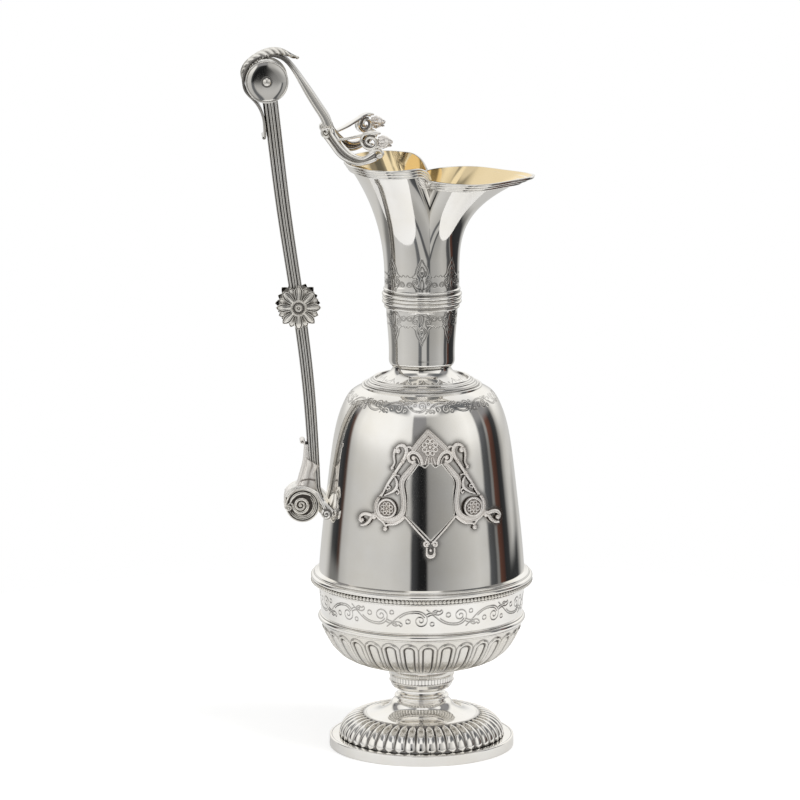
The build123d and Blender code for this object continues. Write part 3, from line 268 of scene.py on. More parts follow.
def engravedPiece(name, outline, lines, cut):
    # lathe work with lines cut into it, drawn across one repeat: u from its middle, v along the outline from
    # the level cut["start"]; the middle of a repeat lies at the angle cut["middle"]
    columns, repeats = cut["columns"], cut["repeats"]

    def relief(angle, line):
        run = lengthAlong(line)
        top = int(np.argmax(line[:, 1]))
        run = run - np.interp(cut["start"], line[:top + 1, 1], run[:top + 1])
        run[top + 1:] = -1e6
        pitch = pitchOf(cut)
        u, v = np.meshgrid((np.arange(columns) + 0.5) / columns * pitch - pitch / 2, run)
        beside = [np.asarray(each, float) + (side * pitch, 0) for each in lines for side in (-1, 0, 1)]
        depth = np.tile(cutDepth(u, v, beside, cut["width"]), (1, repeats))
        depth = np.roll(depth, int(round(cut["middle"] / 360 * len(angle) - columns / 2)), axis=1)
        return -cut["depth"] * depth, depth * 0.75

    return turnedPiece(name, outline, columns * repeats, relief)


def pitchOf(cut):
    return 2 * math.pi * cut["radius"] / cut["repeats"]


def addNode(tree, kind, sockets=None, **settings):
    # each socket, by name or number, gets a value or another node's output
    node = tree.nodes.new(kind)
    for key, value in settings.items():
        setattr(node, key, value)
    for place, value in (sockets or {}).items():
        if isinstance(value, bpy.types.NodeSocket):
            tree.links.new(value, node.inputs[place])
        else:
            node.inputs[place].default_value = value
    return node


def emptyTree(owner):
    owner.use_nodes = True
    owner.node_tree.nodes.clear()
    return owner.node_tree


def seenOnly(tree, shown, otherwise):
    # one shader where the camera looks straight at it, and another for all other rays
    ray = addNode(tree, "ShaderNodeLightPath")
    return addNode(tree, "ShaderNodeMixShader", {0: ray.outputs["Is Camera Ray"], 1: otherwise, 2: shown}).outputs[0]


def metalFinish(name, tone, deepTone, smooth, darkStrength, unevenness, scratch, smudge, bare=1.0):
    # silver or gilt: tone goes darker in cut and recessed places and under painted shade, with soft smudges, fine
    # wipes and hammering
    material = bpy.data.materials.new(name)
    tree = emptyTree(material)

    def noise(vector, scale, detail):
        sockets = {"Vector": vector, "Scale": scale, "Detail": detail}
        return addNode(tree, "ShaderNodeTexNoise", sockets).outputs["Fac"]

    def work(operation, *values, clamp=False):
        node = addNode(tree, "ShaderNodeMath", dict(enumerate(values)), operation=operation, use_clamp=clamp)
        return node.outputs[0]

    def spread(value, low, high, least=0.0, most=1.0):
        sockets = {"Value": value, "From Min": low, "From Max": high, "To Min": least, "To Max": most}
        return addNode(tree, "ShaderNodeMapRange", sockets).outputs[0]

    def bump(height, depth, **under):
        sockets = {"Strength": 1.0, "Distance": depth * mm, "Height": height, **under}
        return addNode(tree, "ShaderNodeBump", sockets).outputs[0]

    def mixed(amount, first, second):
        return addNode(tree, "ShaderNodeMix", {0: amount, 6: first, 7: second}, data_type="RGBA").outputs[2]

    place = addNode(tree, "ShaderNodeTexCoord").outputs["Object"]
    upright = addNode(tree, "ShaderNodeMapping", {"Vector": place, "Scale": (1, 1, 0.12)}).outputs[0]
    cloud, fine, wave, wipe = noise(place, 55, 4), noise(place, 900, 3), noise(place, 34, 1), noise(upright, 1400, 2)

    # tarnish settles in the recesses and painted shade lies where it is marked, both a little uneven
    recessAndShade = addNode(tree, "ShaderNodeAttribute", attribute_name="recessAndShade").outputs["Fac"]
    deep = work("MULTIPLY", recessAndShade, work("MULTIPLY_ADD", fine, 0.2, 0.9), clamp=True)
    deepness = work("MULTIPLY", deep, darkStrength, clamp=True)
    hazy = (tone[0] * 0.95, tone[1] * 0.935, tone[2] * 0.90, 1)
    colour = mixed(deepness, mixed(spread(cloud, 0.35, 0.75), (*tone, 1), hazy), (*deepTone, 1))

    # polished, with smudges and wipes, and dull where it is dark
    gloss = work("MULTIPLY_ADD", wipe, 0.05, spread(cloud, 0.3, 0.8, smooth, smooth + smudge))
    dull = work("MULTIPLY_ADD", deepness, 0.32, gloss, clamp=True)

    # slow unevenness of hand-raised sheet, and fine wiping marks over it
    surface = bump(wipe, scratch, Normal=bump(wave, unevenness))
    shader = addNode(tree, "ShaderNodeBsdfPrincipled", {"Metallic": bare, "IOR": 1.45, "Base Color": colour,
                                                        "Roughness": dull, "Normal": surface})
    addNode(tree, "ShaderNodeOutputMaterial", {0: shader.outputs[0]})
    return material


tarnishAndShadeTone = (0.085, 0.075, 0.068)
polished = metalFinish("polishedSilver", (0.93, 0.915, 0.89), tarnishAndShadeTone, 0.02, 0.85, 0.20, 0.0008, 0.035)
ornate = metalFinish("oxidisedSilver", (0.86, 0.84, 0.80), tarnishAndShadeTone, 0.17, 1.0, 0.10, 0.0015, 0.07)
cast = metalFinish("castSilver", (0.97, 0.94, 0.915), (0.115, 0.088, 0.072), 0.34, 1.0, 0.12, 0.003, 0.08, 0.80)
aged = metalFinish("agedSilver", (0.92, 0.91, 0.89), tarnishAndShadeTone, 0.16, 1.0, 0.05, 0.001, 0.06)
gilded = metalFinish("giltSilver", (0.93, 0.76, 0.47), (0.42, 0.30, 0.12), 0.04, 1.0, 0.25, 0.002, 0.05)
print("finishes made")

# foot

foot = {
    "bandRadius": 47.8,
    "bandTop": 5.6,
    "bandWall": 1.8,
    "ledgeInner": 41.2,
    "lobes": 48,
    "lobeFoot": 42.8,
    "lobeCrest": 29.6,
    "lobeTop": 16.9,
    "lobeHeight": 1.35,
    "collarBottom": 25.2,
    "neckBottom": 27.3,
    "collarRadius": 14.1,
    "stemRadius": 10.6,
}


def footBand():
    f = foot
    r, top, wall = f["bandRadius"], f["bandTop"], f["bandWall"]
    edge = 0.55
    outline = joinLines((r - wall, 0), (r - 0.35, 0), arcLine((r - 0.3, 0.3), 0.3, -80, 0, 4), (r, 1.2),
                        (r - 0.03, 2.8), (r, 4.4), arcLine((r - edge, top - edge), edge, 0, 90, 7), (r - 1.05, top),
                        (r - 1.15, top - 0.14), (r - 1.35, top - 0.14), (r - 1.45, top - 0.1), (r - 2.4, top - 0.1),
                        (r - 4.0, top - 0.1), (f["ledgeInner"] + 0.2, top - 0.1), (f["ledgeInner"], top - 0.3),
                        (f["ledgeInner"], top - 1.0), (r - wall - 0.6, top - 1.0),
                        arcLine((r - wall - 0.6, top - 1.6), 0.6, 90, 0, 5))
    groove = darkRings(lambda line: 0.8 * ((np.abs(line[:, 0] - r + 1.25) < 0.12) & (line[:, 1] > top - 0.3)))
    return dress(turnedPiece("footBand", outline, 360, groove), polished, "polished_silver", "foot_band")


def footDome():
    # round lobes that run up the dome, rounded off at both ends, below a ring and a hollow neck
    f = foot
    r, low, crest, top = f["lobeFoot"], f["bandTop"], f["lobeCrest"], f["lobeTop"]
    dome = smoothLine([(r, low - 0.1), (r * 0.965, low + 5.3), (crest + 4.0, top - 0.5), (crest + 0.4, top - 0.05)],
                      52, (0, 1), (-1, 0.05))
    ring = arcLine((crest - 0.5, top - 0.45), 0.62, 60, 160, 8)
    hollow = smoothLine([(crest - 1.5, top - 0.42), (24.0, 17.05), (19.2, 19.1), (16.4, 21.8), (14.8, 24.0),
                         (f["collarRadius"] - 0.9, f["collarBottom"])], 40, (-1, 0.03), (-0.3, 1))
    shell = joinLines((f["collarRadius"] - 2.6, f["collarBottom"]), (18.8, 18.9), (23.8, 15.6),
                      (crest - 0.5, top - 2.3), (r * 0.93, low + 4.4), (r - 2.2, low - 0.1))
    outline = joinLines(dome, ring, hollow, shell)
    along = lengthAlong(outline)
    end = along[len(dome) - 1]

    def relief(angle, line):
        phase = (angle * f["lobes"] / (2 * math.pi)) % 1 - 0.5
        span = np.clip(along / 2.2, 0, 1)
        footEnd = np.sqrt(np.clip(1 - (1 - span) ** 2, 0, 1))
        left = np.clip((end - 0.5 - along) / 2.6, 0, 1)
        crestEnd = np.sqrt(np.clip(1 - (1 - left) ** 2, 0, 1))
        width = 0.455 * footEnd * (0.25 + 0.75 * crestEnd)
        rounded = np.clip(1 - (phase[None, :] / (width[:, None] + 1e-6)) ** 2, 0, 1) ** 0.5
        rounded *= (crestEnd > 0)[:, None]
        height = f["lobeHeight"] * (0.35 + 0.65 * np.clip(along / 9, 0, 1)) * np.sqrt(crestEnd)
        live = (along < end)[:, None]
        lift = np.where(live, height[:, None] * (rounded - 1), 0)
        wide = 1.2 + 0.7 * np.clip(along / end, 0, 1)[:, None]
        recessAndShade = np.where(live, np.clip(1 - rounded * wide, 0, 1) ** 0.8, 0)
        nearRing = np.exp(-((along - end) / 0.7) ** 2)[:, None] * 0.55
        return lift, np.clip(recessAndShade + nearRing, 0, 1)

    return dress(turnedPiece("footDome", outline, f["lobes"] * 18, relief, crease=50), polished,
                 "oxidised_silver", "foot_dome")


def stemCollar():
    # ring above the foot, and the stem up to the cup
    f = foot
    low, neckLow, cupLow, r, stem = f["collarBottom"], f["neckBottom"], 30.0, f["collarRadius"], f["stemRadius"]
    outline = joinLines(
        (r - 2.9, low), (r - 1.0, low), (r - 0.5, low + 0.02), arcLine((r - 0.8, low + 0.85), 0.8, -70, 75, 9),
        (r - 1.2, neckLow - 0.35), (r - 1.35, neckLow - 0.1), arcLine((r - 2.0, neckLow + 0.1), 0.42, 0, 90, 5),
        (stem + 0.5, neckLow + 0.62), (stem + 0.1, neckLow + 0.9), (stem, neckLow + 1.3), (stem, cupLow - 0.4),
        (stem, cupLow), (stem - 1.0, cupLow), (stem - 1.0, low))
    return dress(turnedPiece("stemCollar", outline, 240), polished, "polished_silver", "stem_collar")


cup = {"bottom": 30.0, "top": 43.0, "foot": 15.9, "rim": 18.6, "notches": 60, "millBottom": 34.9, "millTop": 37.5}


def stemCup():
    # turned cup with a row of fine upright notches round its middle
    c = cup
    low, high, r, rim = c["bottom"], c["top"], c["foot"], c["rim"]
    millLow, millHigh = c["millBottom"], c["millTop"]
    outline = joinLines(
        smoothLine([(10.6, low), (14.4, low + 0.9), (r, low + 2.9)], 14, (1, 0.05), (0.15, 1)),
        (r + 0.35, low + 3.6), (r + 0.55, low + 4.1), arcLine((r + 0.62, low + 4.45), 0.33, -60, 80, 6),
        [(r + 0.62 + 0.1 * t, millLow + (millHigh - millLow) * t) for t in np.linspace(0, 1, 11)],
        arcLine((r + 0.75, millHigh + 0.35), 0.33, -70, 80, 6), (r + 0.7, millHigh + 0.85),
        smoothLine([(r + 0.72, millHigh + 0.9), (rim - 1.55, high - 3.3), (rim - 0.9, high - 2.0)], 8),
        (rim - 0.85, high - 1.5), arcLine((rim - 0.55, high - 0.75), 0.55, -90, 90, 9), (rim - 1.0, high),
        (rim - 2.6, high), (14.3, low + 2.4), (9.6, low + 1.0), (9.6, low))

    def relief(angle, line):
        z = line[:, 1]
        milled = ((z > millLow + 0.1) & (z < millHigh - 0.1) & (line[:, 0] > r))[:, None]
        wave = np.cos(angle * c["notches"])[None, :]
        notch = np.clip(-wave * 2 - 0.4, 0, 1)
        recessAndShade = np.where(milled, notch * 0.45, 0)
        seat = (np.abs(z - millLow - 0.02) < 0.12) | (np.abs(z - millHigh - 0.05) < 0.15)
        recessAndShade = np.maximum(recessAndShade, seat[:, None] * 0.6 * (line[:, 0] > r)[:, None])
        return np.where(milled, -0.15 * notch, 0), recessAndShade

    return dress(turnedPiece("stemCup", outline, c["notches"] * 8, relief), polished, "polished_silver", "stem_cup")


# bowl with tongues

bowl = {"bottom": 43.0, "top": 66.0, "radius": 51.6, "wall": 1.0, "tongues": 32, "panel": 0.46, "cut": 0.60,
        "border": 0.93, "proud": 0.72, "shift": 0.447, "fadeFrom": 8.0, "headDrop": 1.5}


def bowlLine(grow, steps):
    b = bowl
    r, low, rise = b["radius"], b["bottom"], b["top"] - b["bottom"]
    return smoothLine([(18.2, low - grow), (r * 0.6 + grow * 0.3, low + rise * 0.115 - grow),
                       (r * 0.776 + grow * 0.6, low + rise * 0.27 - grow * 0.8),
                       (r * 0.876 + grow * 0.8, low + rise * 0.47 - grow * 0.6),
                       (r * 0.95 + grow, low + rise * 0.74 - grow * 0.2), (r + grow, low + rise)],
                      steps, (1, 0.07), (0.3, 1))


def bowlPiece():
    # each tongue is a crowned panel in a dark cut, inside a round-headed raised border
    b = bowl
    outer = bowlLine(0, 120)
    outline = joinLines((0.4, b["bottom"] + 0.05), outer, bowlLine(-b["wall"], 16)[::-1],
                        (0.4, b["bottom"] + b["wall"]))
    along = lengthAlong(outline)
    whole = along[len(outer)]

    def relief(angle, line):
        pitch = 2 * math.pi / b["tongues"]
        phase = ((angle + b["shift"] * pitch) % pitch) - pitch / 2
        half = line[:, 0:1] * pitch / 2 * 0.985
        headHalf = 0.985 * 0.93 * b["radius"] * pitch / 2
        up = along[:, None] - (whole - b["headDrop"] - headHalf * 0.95)
        across = np.abs(phase[None, :]) * line[:, 0:1]
        away = np.where(up > 0, np.sqrt(across ** 2 + up ** 2), across) / half
        live = ((np.arange(len(line)) <= len(outer)) & (along > b["fadeFrom"]))[:, None]
        panel = np.sqrt(np.clip(1 - (away / b["panel"]) ** 2, 0, 1)) * 0.42
        ridge = (away - (b["cut"] + b["border"]) / 2) / ((b["border"] - b["cut"]) / 2)
        border = np.sqrt(np.clip(1 - ridge ** 2, 0, 1)) * b["proud"]
        cut = np.exp(-((away - (b["panel"] + b["cut"]) / 2) / 0.085) ** 2)
        side = np.exp(-((away - 1.0) / 0.055) ** 2) * (away < 1.05)
        lift = np.where(live, panel + border - 0.30 * cut, 0)
        recessAndShade = np.where(live, np.clip(1.15 * cut + 0.75 * side, 0, 1), 0)
        fade = np.clip((along - b["fadeFrom"]) / 5.0, 0, 1)[:, None]
        return lift * fade, recessAndShade * fade

    return dress(turnedPiece("bowl", outline, b["tongues"] * 28, relief, crease=60), ornate, "oxidised_silver",
                 "bowl")


# rings, engraved band, girdle and its beads

belt = {"bowlTop": 66.0, "ringTop": 71.0, "bandTop": 85.5, "girdleTop": 93.3, "bandFoot": 52.1, "bandHead": 53.1,
        "wall": 1.0, "beads": 168, "beadRadius": 0.98, "beadCircle": 56.35, "beadRise": 2.55, "seatRise": 2.57}
bandCut = {"repeats": 8, "columns": 170, "radius": 52.6, "start": 79.0, "middle": -93.8, "width": 0.34, "depth": 0.15}


def lowerRing():
    b = belt
    low, high = b["bowlTop"], b["ringTop"]
    outline = joinLines(
        (50.6, low), (51.7, low), (52.0, low + 0.2), arcLine((51.75, low + 0.62), 0.42, -40, 70, 6),
        (52.1, low + 1.15), arcLine((52.1, low + 2.5), 1.5, -65, 65, 14), (52.2, low + 3.95),
        arcLine((52.15, low + 4.4), 0.38, -60, 80, 6), (52.25, high - 0.05), (52.1, high), (50.6, high))
    folds = [low + 0.2, round(low + 1.15, 2), round(low + 3.95, 2)]
    seats = darkRings(lambda line: 0.75 * np.isin(np.round(line[:, 1], 2), folds))
    return dress(turnedPiece("lowerRing", outline, 360, seats), polished, "polished_silver", "lower_ring")


def vineLines(pitch):
    # one repeat of the running scroll: an arched and a hanging stem, each wound into a spiral, with split leaves
    # and dots, drawn for a repeat of 41.3
    size = pitch / 41.3
    lines = []
    for way, middle in ((1, 0), (-1, 20.65)):
        found = [smoothLine([(-17.4, -3.6), (-15.2, -1.7), (-12.3, 1.0), (-8.6, 3.6), (-3.6, 4.9), (0.8, 4.4),
                             (3.0, 2.3), (3.4, 0.0)], 60), spiralLine((0, 0), 3.4, 0.5, 0, -1.45, 48),
                 smoothLine([(-10.6, 1.2), (-7.4, 3.2), (-3.6, 4.0), (0.2, 3.5), (2.0, 1.8)], 34),
                 smoothLine([(-15.2, -1.7), (-12.6, -0.9), (-10.4, -1.2), (-9.4, -2.6), (-10.2, -3.4)], 26),
                 smoothLine([(-14.6, -2.3), (-12.6, -3.2), (-10.9, -2.6), (-10.2, -3.4)], 20),
                 smoothLine([(2.6, 3.0), (4.6, 4.0), (6.9, 4.1), (8.6, 5.2)], 20),
                 smoothLine([(3.2, 1.8), (5.2, 2.9), (7.2, 3.2), (8.6, 5.2)], 20),
                 arcLine((-6.4, -0.6), 1.15, 0, 360, 21), arcLine((5.9, -1.8), 1.0, 0, 360, 21)]
        lines += [(line * (1, way) + (middle, -way * 1.1)) * size for line in found]
    return lines


def bodyBand():
    b = belt
    low, high, wall = b["ringTop"], b["bandTop"], b["wall"]
    t = np.linspace(0, 1, 64)
    side = np.stack((b["bandFoot"] + (b["bandHead"] - b["bandFoot"]) * t, low + (high - low) * t), axis=1)
    outline = joinLines(side, (b["bandHead"] - wall, high), (b["bandFoot"] - wall, low))
    piece = engravedPiece("bodyBand", outline, vineLines(pitchOf(bandCut)), bandCut)
    return dress(piece, polished, "polished_silver", "body_band")


def girdlePiece():
    b = belt
    low, high = b["bandTop"], b["girdleTop"]
    beadZ = low + b["seatRise"]
    outline = joinLines((52.1, low), (54.2, low), (54.5, low + 0.2), arcLine((54.3, low + 0.72), 0.5, -50, 70, 7),
                        (54.6, low + 1.3), (55.1, beadZ - 0.75), (55.35, beadZ), (55.75, beadZ + 0.8),
                        (56.0, beadZ + 1.05), arcLine((56.1, beadZ + 2.2), 1.2, -80, 95, 16), (55.6, beadZ + 3.5),
                        (55.3, beadZ + 3.75), arcLine((54.9, beadZ + 4.1), 0.5, -20, 100, 8), (54.2, high - 0.55),
                        (53.2, high - 0.02), (53.0, high), (52.0, high))

    def marks(line):
        # painted shade round the seat of the beads, where the girdle shows between them, and dark fold lines
        seat = np.exp(-((line[:, 1] - beadZ) / 0.9) ** 2) * (line[:, 0] > 54.3)
        return seat + 0.7 * np.isin(np.round(line[:, 1], 2), [round(low + 1.3, 2), round(beadZ + 3.5, 2)])

    return dress(turnedPiece("girdle", outline, 400, darkRings(marks)), polished, "polished_silver", "girdle")


def girdleBeads():
    # round beads, with painted shade towards the seat that they stand in
    b = belt
    parts = []
    for i in range(b["beads"]):
        a = 2 * math.pi * i / b["beads"]
        centre = (b["beadCircle"] * math.cos(a), b["beadCircle"] * math.sin(a), b["bandTop"] + b["beadRise"])
        ball = ballGrid(centre, b["beadRadius"], 9, 12)
        out = (ball[:, :, 0] * math.cos(a) + ball[:, :, 1] * math.sin(a) - b["beadCircle"]) / b["beadRadius"]
        parts.append((ball, np.clip((0.30 - out) * 1.6, 0, 1), True))
    return dress(piecesOf("girdleBeads", parts), ornate, "oxidised_silver", "girdle_beads")


for make in (footBand, footDome, stemCollar, stemCup, bowlPiece, lowerRing, bodyBand, girdlePiece, girdleBeads):
    make()
print("foot, bowl and girdle made")

# body and shoulder

trunk = {"foot": 53.0, "footZ": 93.3, "waist": 49.0, "bend": 39.6, "bendZ": 181.5, "shoulderZ": 189.9, "joint": 26.5,
         "wall": 1.0, "coneTop": 199.5}
bodyCut = {"repeats": 10, "columns": 88, "radius": 37.6, "start": 184.9, "middle": -75, "width": 0.32, "depth": 0.12}
coneCut = {"repeats": 14, "columns": 36, "radius": 22.5, "start": 191.7, "middle": -90, "width": 0.34, "depth": 0.12}


def trunkSide(grow):
    t = trunk
    rise = t["bendZ"] - t["footZ"]
    return smoothLine([(t["foot"] + grow, t["footZ"]), (t["waist"] + grow, t["footZ"] + rise * 0.46),
                       (t["waist"] * 0.945 + grow, t["footZ"] + rise * 0.71), (t["bend"] + grow, t["bendZ"])],
                      170, (-0.06, 1), (-0.5, 1))


def trunkTop(grow, steps):
    t = trunk
    return smoothLine([(t["bend"] + grow, t["bendZ"]), (t["bend"] - 3.0 + grow * 0.7, t["bendZ"] + 4.45 + grow * 0.7),
                       (31.0 - 0.4 * grow, t["shoulderZ"] - 0.6 + grow), (t["joint"], t["shoulderZ"] + 1.6 + grow)],
                      steps, (-0.5, 1), (-1, 0.42))


def bodyPiece():
    t = trunk
    outer = joinLines(trunkSide(0)[:-1], trunkTop(0, 64))
    inner = joinLines(trunkSide(-t["wall"])[::11], trunkTop(-t["wall"], 14))[::-1]
    outline = joinLines(outer, inner)
    lines = [line * (1, 1.3) for line in vineLines(pitchOf(bodyCut))]
    return dress(engravedPiece("body", outline, lines, bodyCut), polished, "polished_silver", "body")


def coneSide(grow, steps):
    t = trunk
    return smoothLine([(t["joint"], t["shoulderZ"] + 1.6 + grow), (18.9 + grow * 0.3, t["shoulderZ"] + 5.0 + grow),
                       (14.9 + grow, t["coneTop"])], steps, (-1, 0.42), (-0.15, 1))


def conePiece():
    # engraved hollow cone with small leaves that stand round its foot
    outline = joinLines(coneSide(0, 60), coneSide(-1.0, 12)[::-1])
    leafSide = smoothLine([(0, 0.3), (2.6, 2.4), (3.2, 4.6), (1.2, 6.6), (0, 8.2)], 22)
    vein = np.array([(0, 1.0), (0, 6.6)])
    lines = [leafSide, leafSide * (-1, 1), vein, spiralLine((3.9, 2.0), 1.1, 0.3, 90, 1.3, 22),
             spiralLine((-3.9, 2.0), 1.1, 0.3, 90, -1.3, 22), arcLine((pitchOf(coneCut) / 2, 5.6), 0.5, 0, 360, 11)]
    return dress(engravedPiece("shoulderCone", outline, lines, coneCut), polished, "polished_silver", "shoulder_cone")


def mouldingPiece():
    # stepped ring with fine threads that covers the joint of body and cone
    z = trunk["shoulderZ"]
    outline = joinLines((30.6, z - 1.2), (31.0, z - 0.7), arcLine((30.35, z - 0.1), 0.62, -30, 110, 9),
                        (29.6, z + 0.35), (29.3, z + 0.5), arcLine((28.9, z + 0.75), 0.42, -10, 120, 7),
                        (28.4, z + 1.1), (27.6, z + 1.9), (27.2, z + 2.15),
                        arcLine((26.75, z + 2.3), 0.42, 0, 120, 7), (26.2, z + 2.75), (25.4, z + 3.3),
                        (25.1, z + 3.45), arcLine((24.45, z + 3.55), 0.6, 20, 170, 10), (23.6, z + 3.2),
                        (23.6, z + 2.3), (26.0, z + 1.3), (30.0, z - 1.0))
    folds = [29.6, 29.3, 28.4, 27.2, 26.2, 25.1, 23.6]
    seats = darkRings(lambda line: 0.7 * np.isin(np.round(line[:, 0], 1), folds))
    return dress(turnedPiece("shoulderMoulding", outline, 300, seats), polished, "polished_silver",
                 "shoulder_moulding")


# neck and its ring

throat = {"ringLow": 230.3, "ringHigh": 240.7, "top": 235.5, "foot": 14.3, "belly": 16.9, "head": 18.6}
neckCut = {"repeats": 7, "columns": 78, "radius": 18.3, "start": 230.1, "middle": -93.2, "width": 0.30, "depth": 0.11}


def scrollPair(up):
    # facing spirals, a pointed arch and a lozenge on the middle line; up is 1 above the ring and -1 below it
    lines = []
    for side in (1, -1):
        flip = np.array((side, 1))
        lines += [spiralLine((3.3, 4.6), 1.75, 0.35, -60, 1.7, 40) * flip,
                  spiralLine((6.6, 2.9), 1.5, 0.3, 200, -1.5, 36) * flip,
                  smoothLine([(0.6, 0.7), (2.6, 1.0), (4.4, 3.0), (6.0, 4.7), (7.6, 4.2), (8.2, 2.6)], 30) * flip,
                  smoothLine([(0.7, 1.6), (2.4, 2.0), (3.7, 2.8), (4.9, 4.0)], 16) * flip,
                  smoothLine([(0, 0.6), (0.75, 2.2), (0.7, 5.0), (0, 6.6)], 16) * flip,
                  smoothLine([(5.2, 7.6), (3.4, 9.2), (2.9, 11.2), (1.4, 14.0), (0, 16.9)], 26) * flip,
                  smoothLine([(8.4, 7.4), (7.3, 8.2), (6.2, 7.2), (5.2, 7.6), (4.4, 6.9), (3.0, 7.1), (2.2, 6.3)],
                             26) * flip, smoothLine([(0, 7.4), (1.5, 9.8), (0, 13.2)], 14) * flip,
                  smoothLine([(1.6, 8.0), (2.3, 9.3), (1.8, 10.8)], 10) * flip]
    lines.append(arcLine((0, 9.9), 0.5, 0, 360, 11))
    lines.append(np.array([(-8.6, 0.35), (8.6, 0.35)]))
    return [line * (1, up) for line in lines]


def neckPiece():
    t = throat
    rise = trunk["coneTop"]
    low = smoothLine([(t["foot"], rise), (t["belly"] - 0.5, rise + 1.6), (t["belly"], rise + 5.0),
                      (t["head"] - 0.35, t["ringLow"] - 1.0)], 110, (1, 0.35), (0.04, 1))
    inner = joinLines((t["head"] - 1.0, t["top"]), (t["head"] - 1.0, t["ringLow"]), low[::-12] - (1.0, 0))
    outline = joinLines(low, (t["head"], t["ringLow"]), (t["head"], t["top"]), inner)
    return dress(engravedPiece("neck", outline, scrollPair(-1), neckCut), polished, "polished_silver", "neck")


def neckRing():
    # three round mouldings between two fine beads, where the lip rises from the neck
    z = throat["ringLow"]
    outline = joinLines((18.6, z), (19.0, z), arcLine((18.75, z + 0.62), 0.62, -60, 70, 9), (19.1, z + 1.35),
                        (19.35, z + 1.75), (19.4, z + 2.2), arcLine((19.5, z + 3.2), 0.9, -75, 75, 12),
                        (19.6, z + 4.25), arcLine((19.55, z + 5.1), 0.78, -60, 60, 9), (19.6, z + 5.95),
                        arcLine((19.55, z + 7.0), 0.95, -70, 70, 12), (19.4, z + 8.15), (19.35, z + 8.5),
                        (19.35, z + 8.9), arcLine((19.15, z + 9.6), 0.62, -60, 85, 9), (19.1, z + 10.4),
                        (18.6, z + 10.4), (18.6, z + 5))
    folds = [1.35, 1.75, 2.2, 4.25, 5.95, 8.15, 8.5]
    seats = darkRings(lambda line: 0.85 * np.isin(np.round(line[:, 1] - z, 2), folds))
    return dress(turnedPiece("neckRing", outline, 260, seats), polished, "polished_silver", "neck_ring")


# lip: round at its root, then three lobes, the front one drawn out into the spout

lip = {"root": 19.1, "rootZ": 235.5, "flareZ": 242.0, "rim": 305.6, "spoutRim": 297.8, "back": 39.0, "side": 37.6,
       "spout": 57.7, "spoutSide": 33.0, "pinchX": 2.8, "pinch": 16.2, "crease": 15.0, "wall": 1.0, "steps": 150,
       "reeds": 3, "wireProud": 1.3}


def lipPlan(level, grow):
    # closed plan of the lip at a level from 0 to 1, from the back round by the far side and the spout
    s = lip
    spoutLevel = (s["spoutRim"] - s["flareZ"]) / (s["rim"] - s["flareZ"])
    creaseLevel = s["crease"] / (s["rim"] - s["flareZ"])
    back = s["root"] + (s["back"] - s["root"]) * level ** 2.3
    side = s["root"] + (s["side"] - s["root"]) * level ** 2.3
    reach = min(level / spoutLevel, 1.08)
    spout = s["root"] + (s["spout"] - s["root"]) * reach ** 3.8
    spoutSide = s["root"] + (s["spoutSide"] - s["root"]) * reach ** 2.6
    pinched = min(max(0.0, (level - creaseLevel) / (spoutLevel - creaseLevel)) ** 1.2, 1.0)
    px = s["pinchX"]
    roundHalf = math.sqrt(back ** 2 - px ** 2)
    pinch = roundHalf * (1 - pinched) + s["pinch"] * pinched + grow * pinched
    roundAngle = math.degrees(math.atan2(px, roundHalf))
    lobeAngle = math.radians(roundAngle * (1 - pinched) + 78 * pinched)
    spoutAngle = math.radians(roundAngle * (1 - pinched) - 74 * pinched)
    widestBack = (0.35 + 0.14 * level) * back
    widestAhead = px + (spout - px) * 0.42
    sideY = side * (1 - pinched) * 0.937 + side * pinched
    aheadY = spoutSide * (1 - pinched) * math.sqrt(max(0.05, 1 - (widestAhead / spout) ** 2)) + spoutSide * pinched
    taperX = px + (spout - px) * 0.77
    taperY = (spoutSide * math.sqrt(max(0.05, 1 - (taperX / spout) ** 2)) * (1 - pinched)
              + spoutSide * 0.55 * pinched)
    lobe = smoothLine([(-back - grow, 0), (-widestBack, sideY + grow), (px, pinch + grow)], 200,
                      (0, 1), (math.cos(lobeAngle), -math.sin(lobeAngle)))
    front = smoothLine([(px, pinch + grow), (widestAhead, aheadY + grow), (taperX, taperY + grow), (spout + grow, 0)],
                       200, (math.cos(spoutAngle), -math.sin(spoutAngle)), (0, -1))
    if level <= 0.0:
        turn = np.linspace(math.pi, math.atan2(roundHalf, px), 200)
        r = s["root"] + grow
        lobe = np.stack((r * np.cos(turn), r * np.sin(turn)), axis=1)
        turn = np.linspace(math.atan2(roundHalf, px), 0, 200)
        front = np.stack((r * np.cos(turn), r * np.sin(turn)), axis=1)
    far = joinLines(spaced(lobe, s["steps"]), spaced(front, s["steps"])[1:])
    return joinLines(far, far[-2:0:-1] * (1, -1))


def rimHeight(x):
    # height of the rim: level over the side lobes, a quick fall at the creases, lower along the spout
    s = lip
    px = s["pinchX"]
    fall = smoothLine([(px - 8.0, s["rim"]), (px - 2.6, s["rim"] - 2.34), (px, s["spoutRim"])], 40, (1, 0),
                      (0.15, -1))
    return np.interp(x, np.maximum.accumulate(fall[:, 0]), fall[:, 1], left=s["rim"], right=s["spoutRim"])


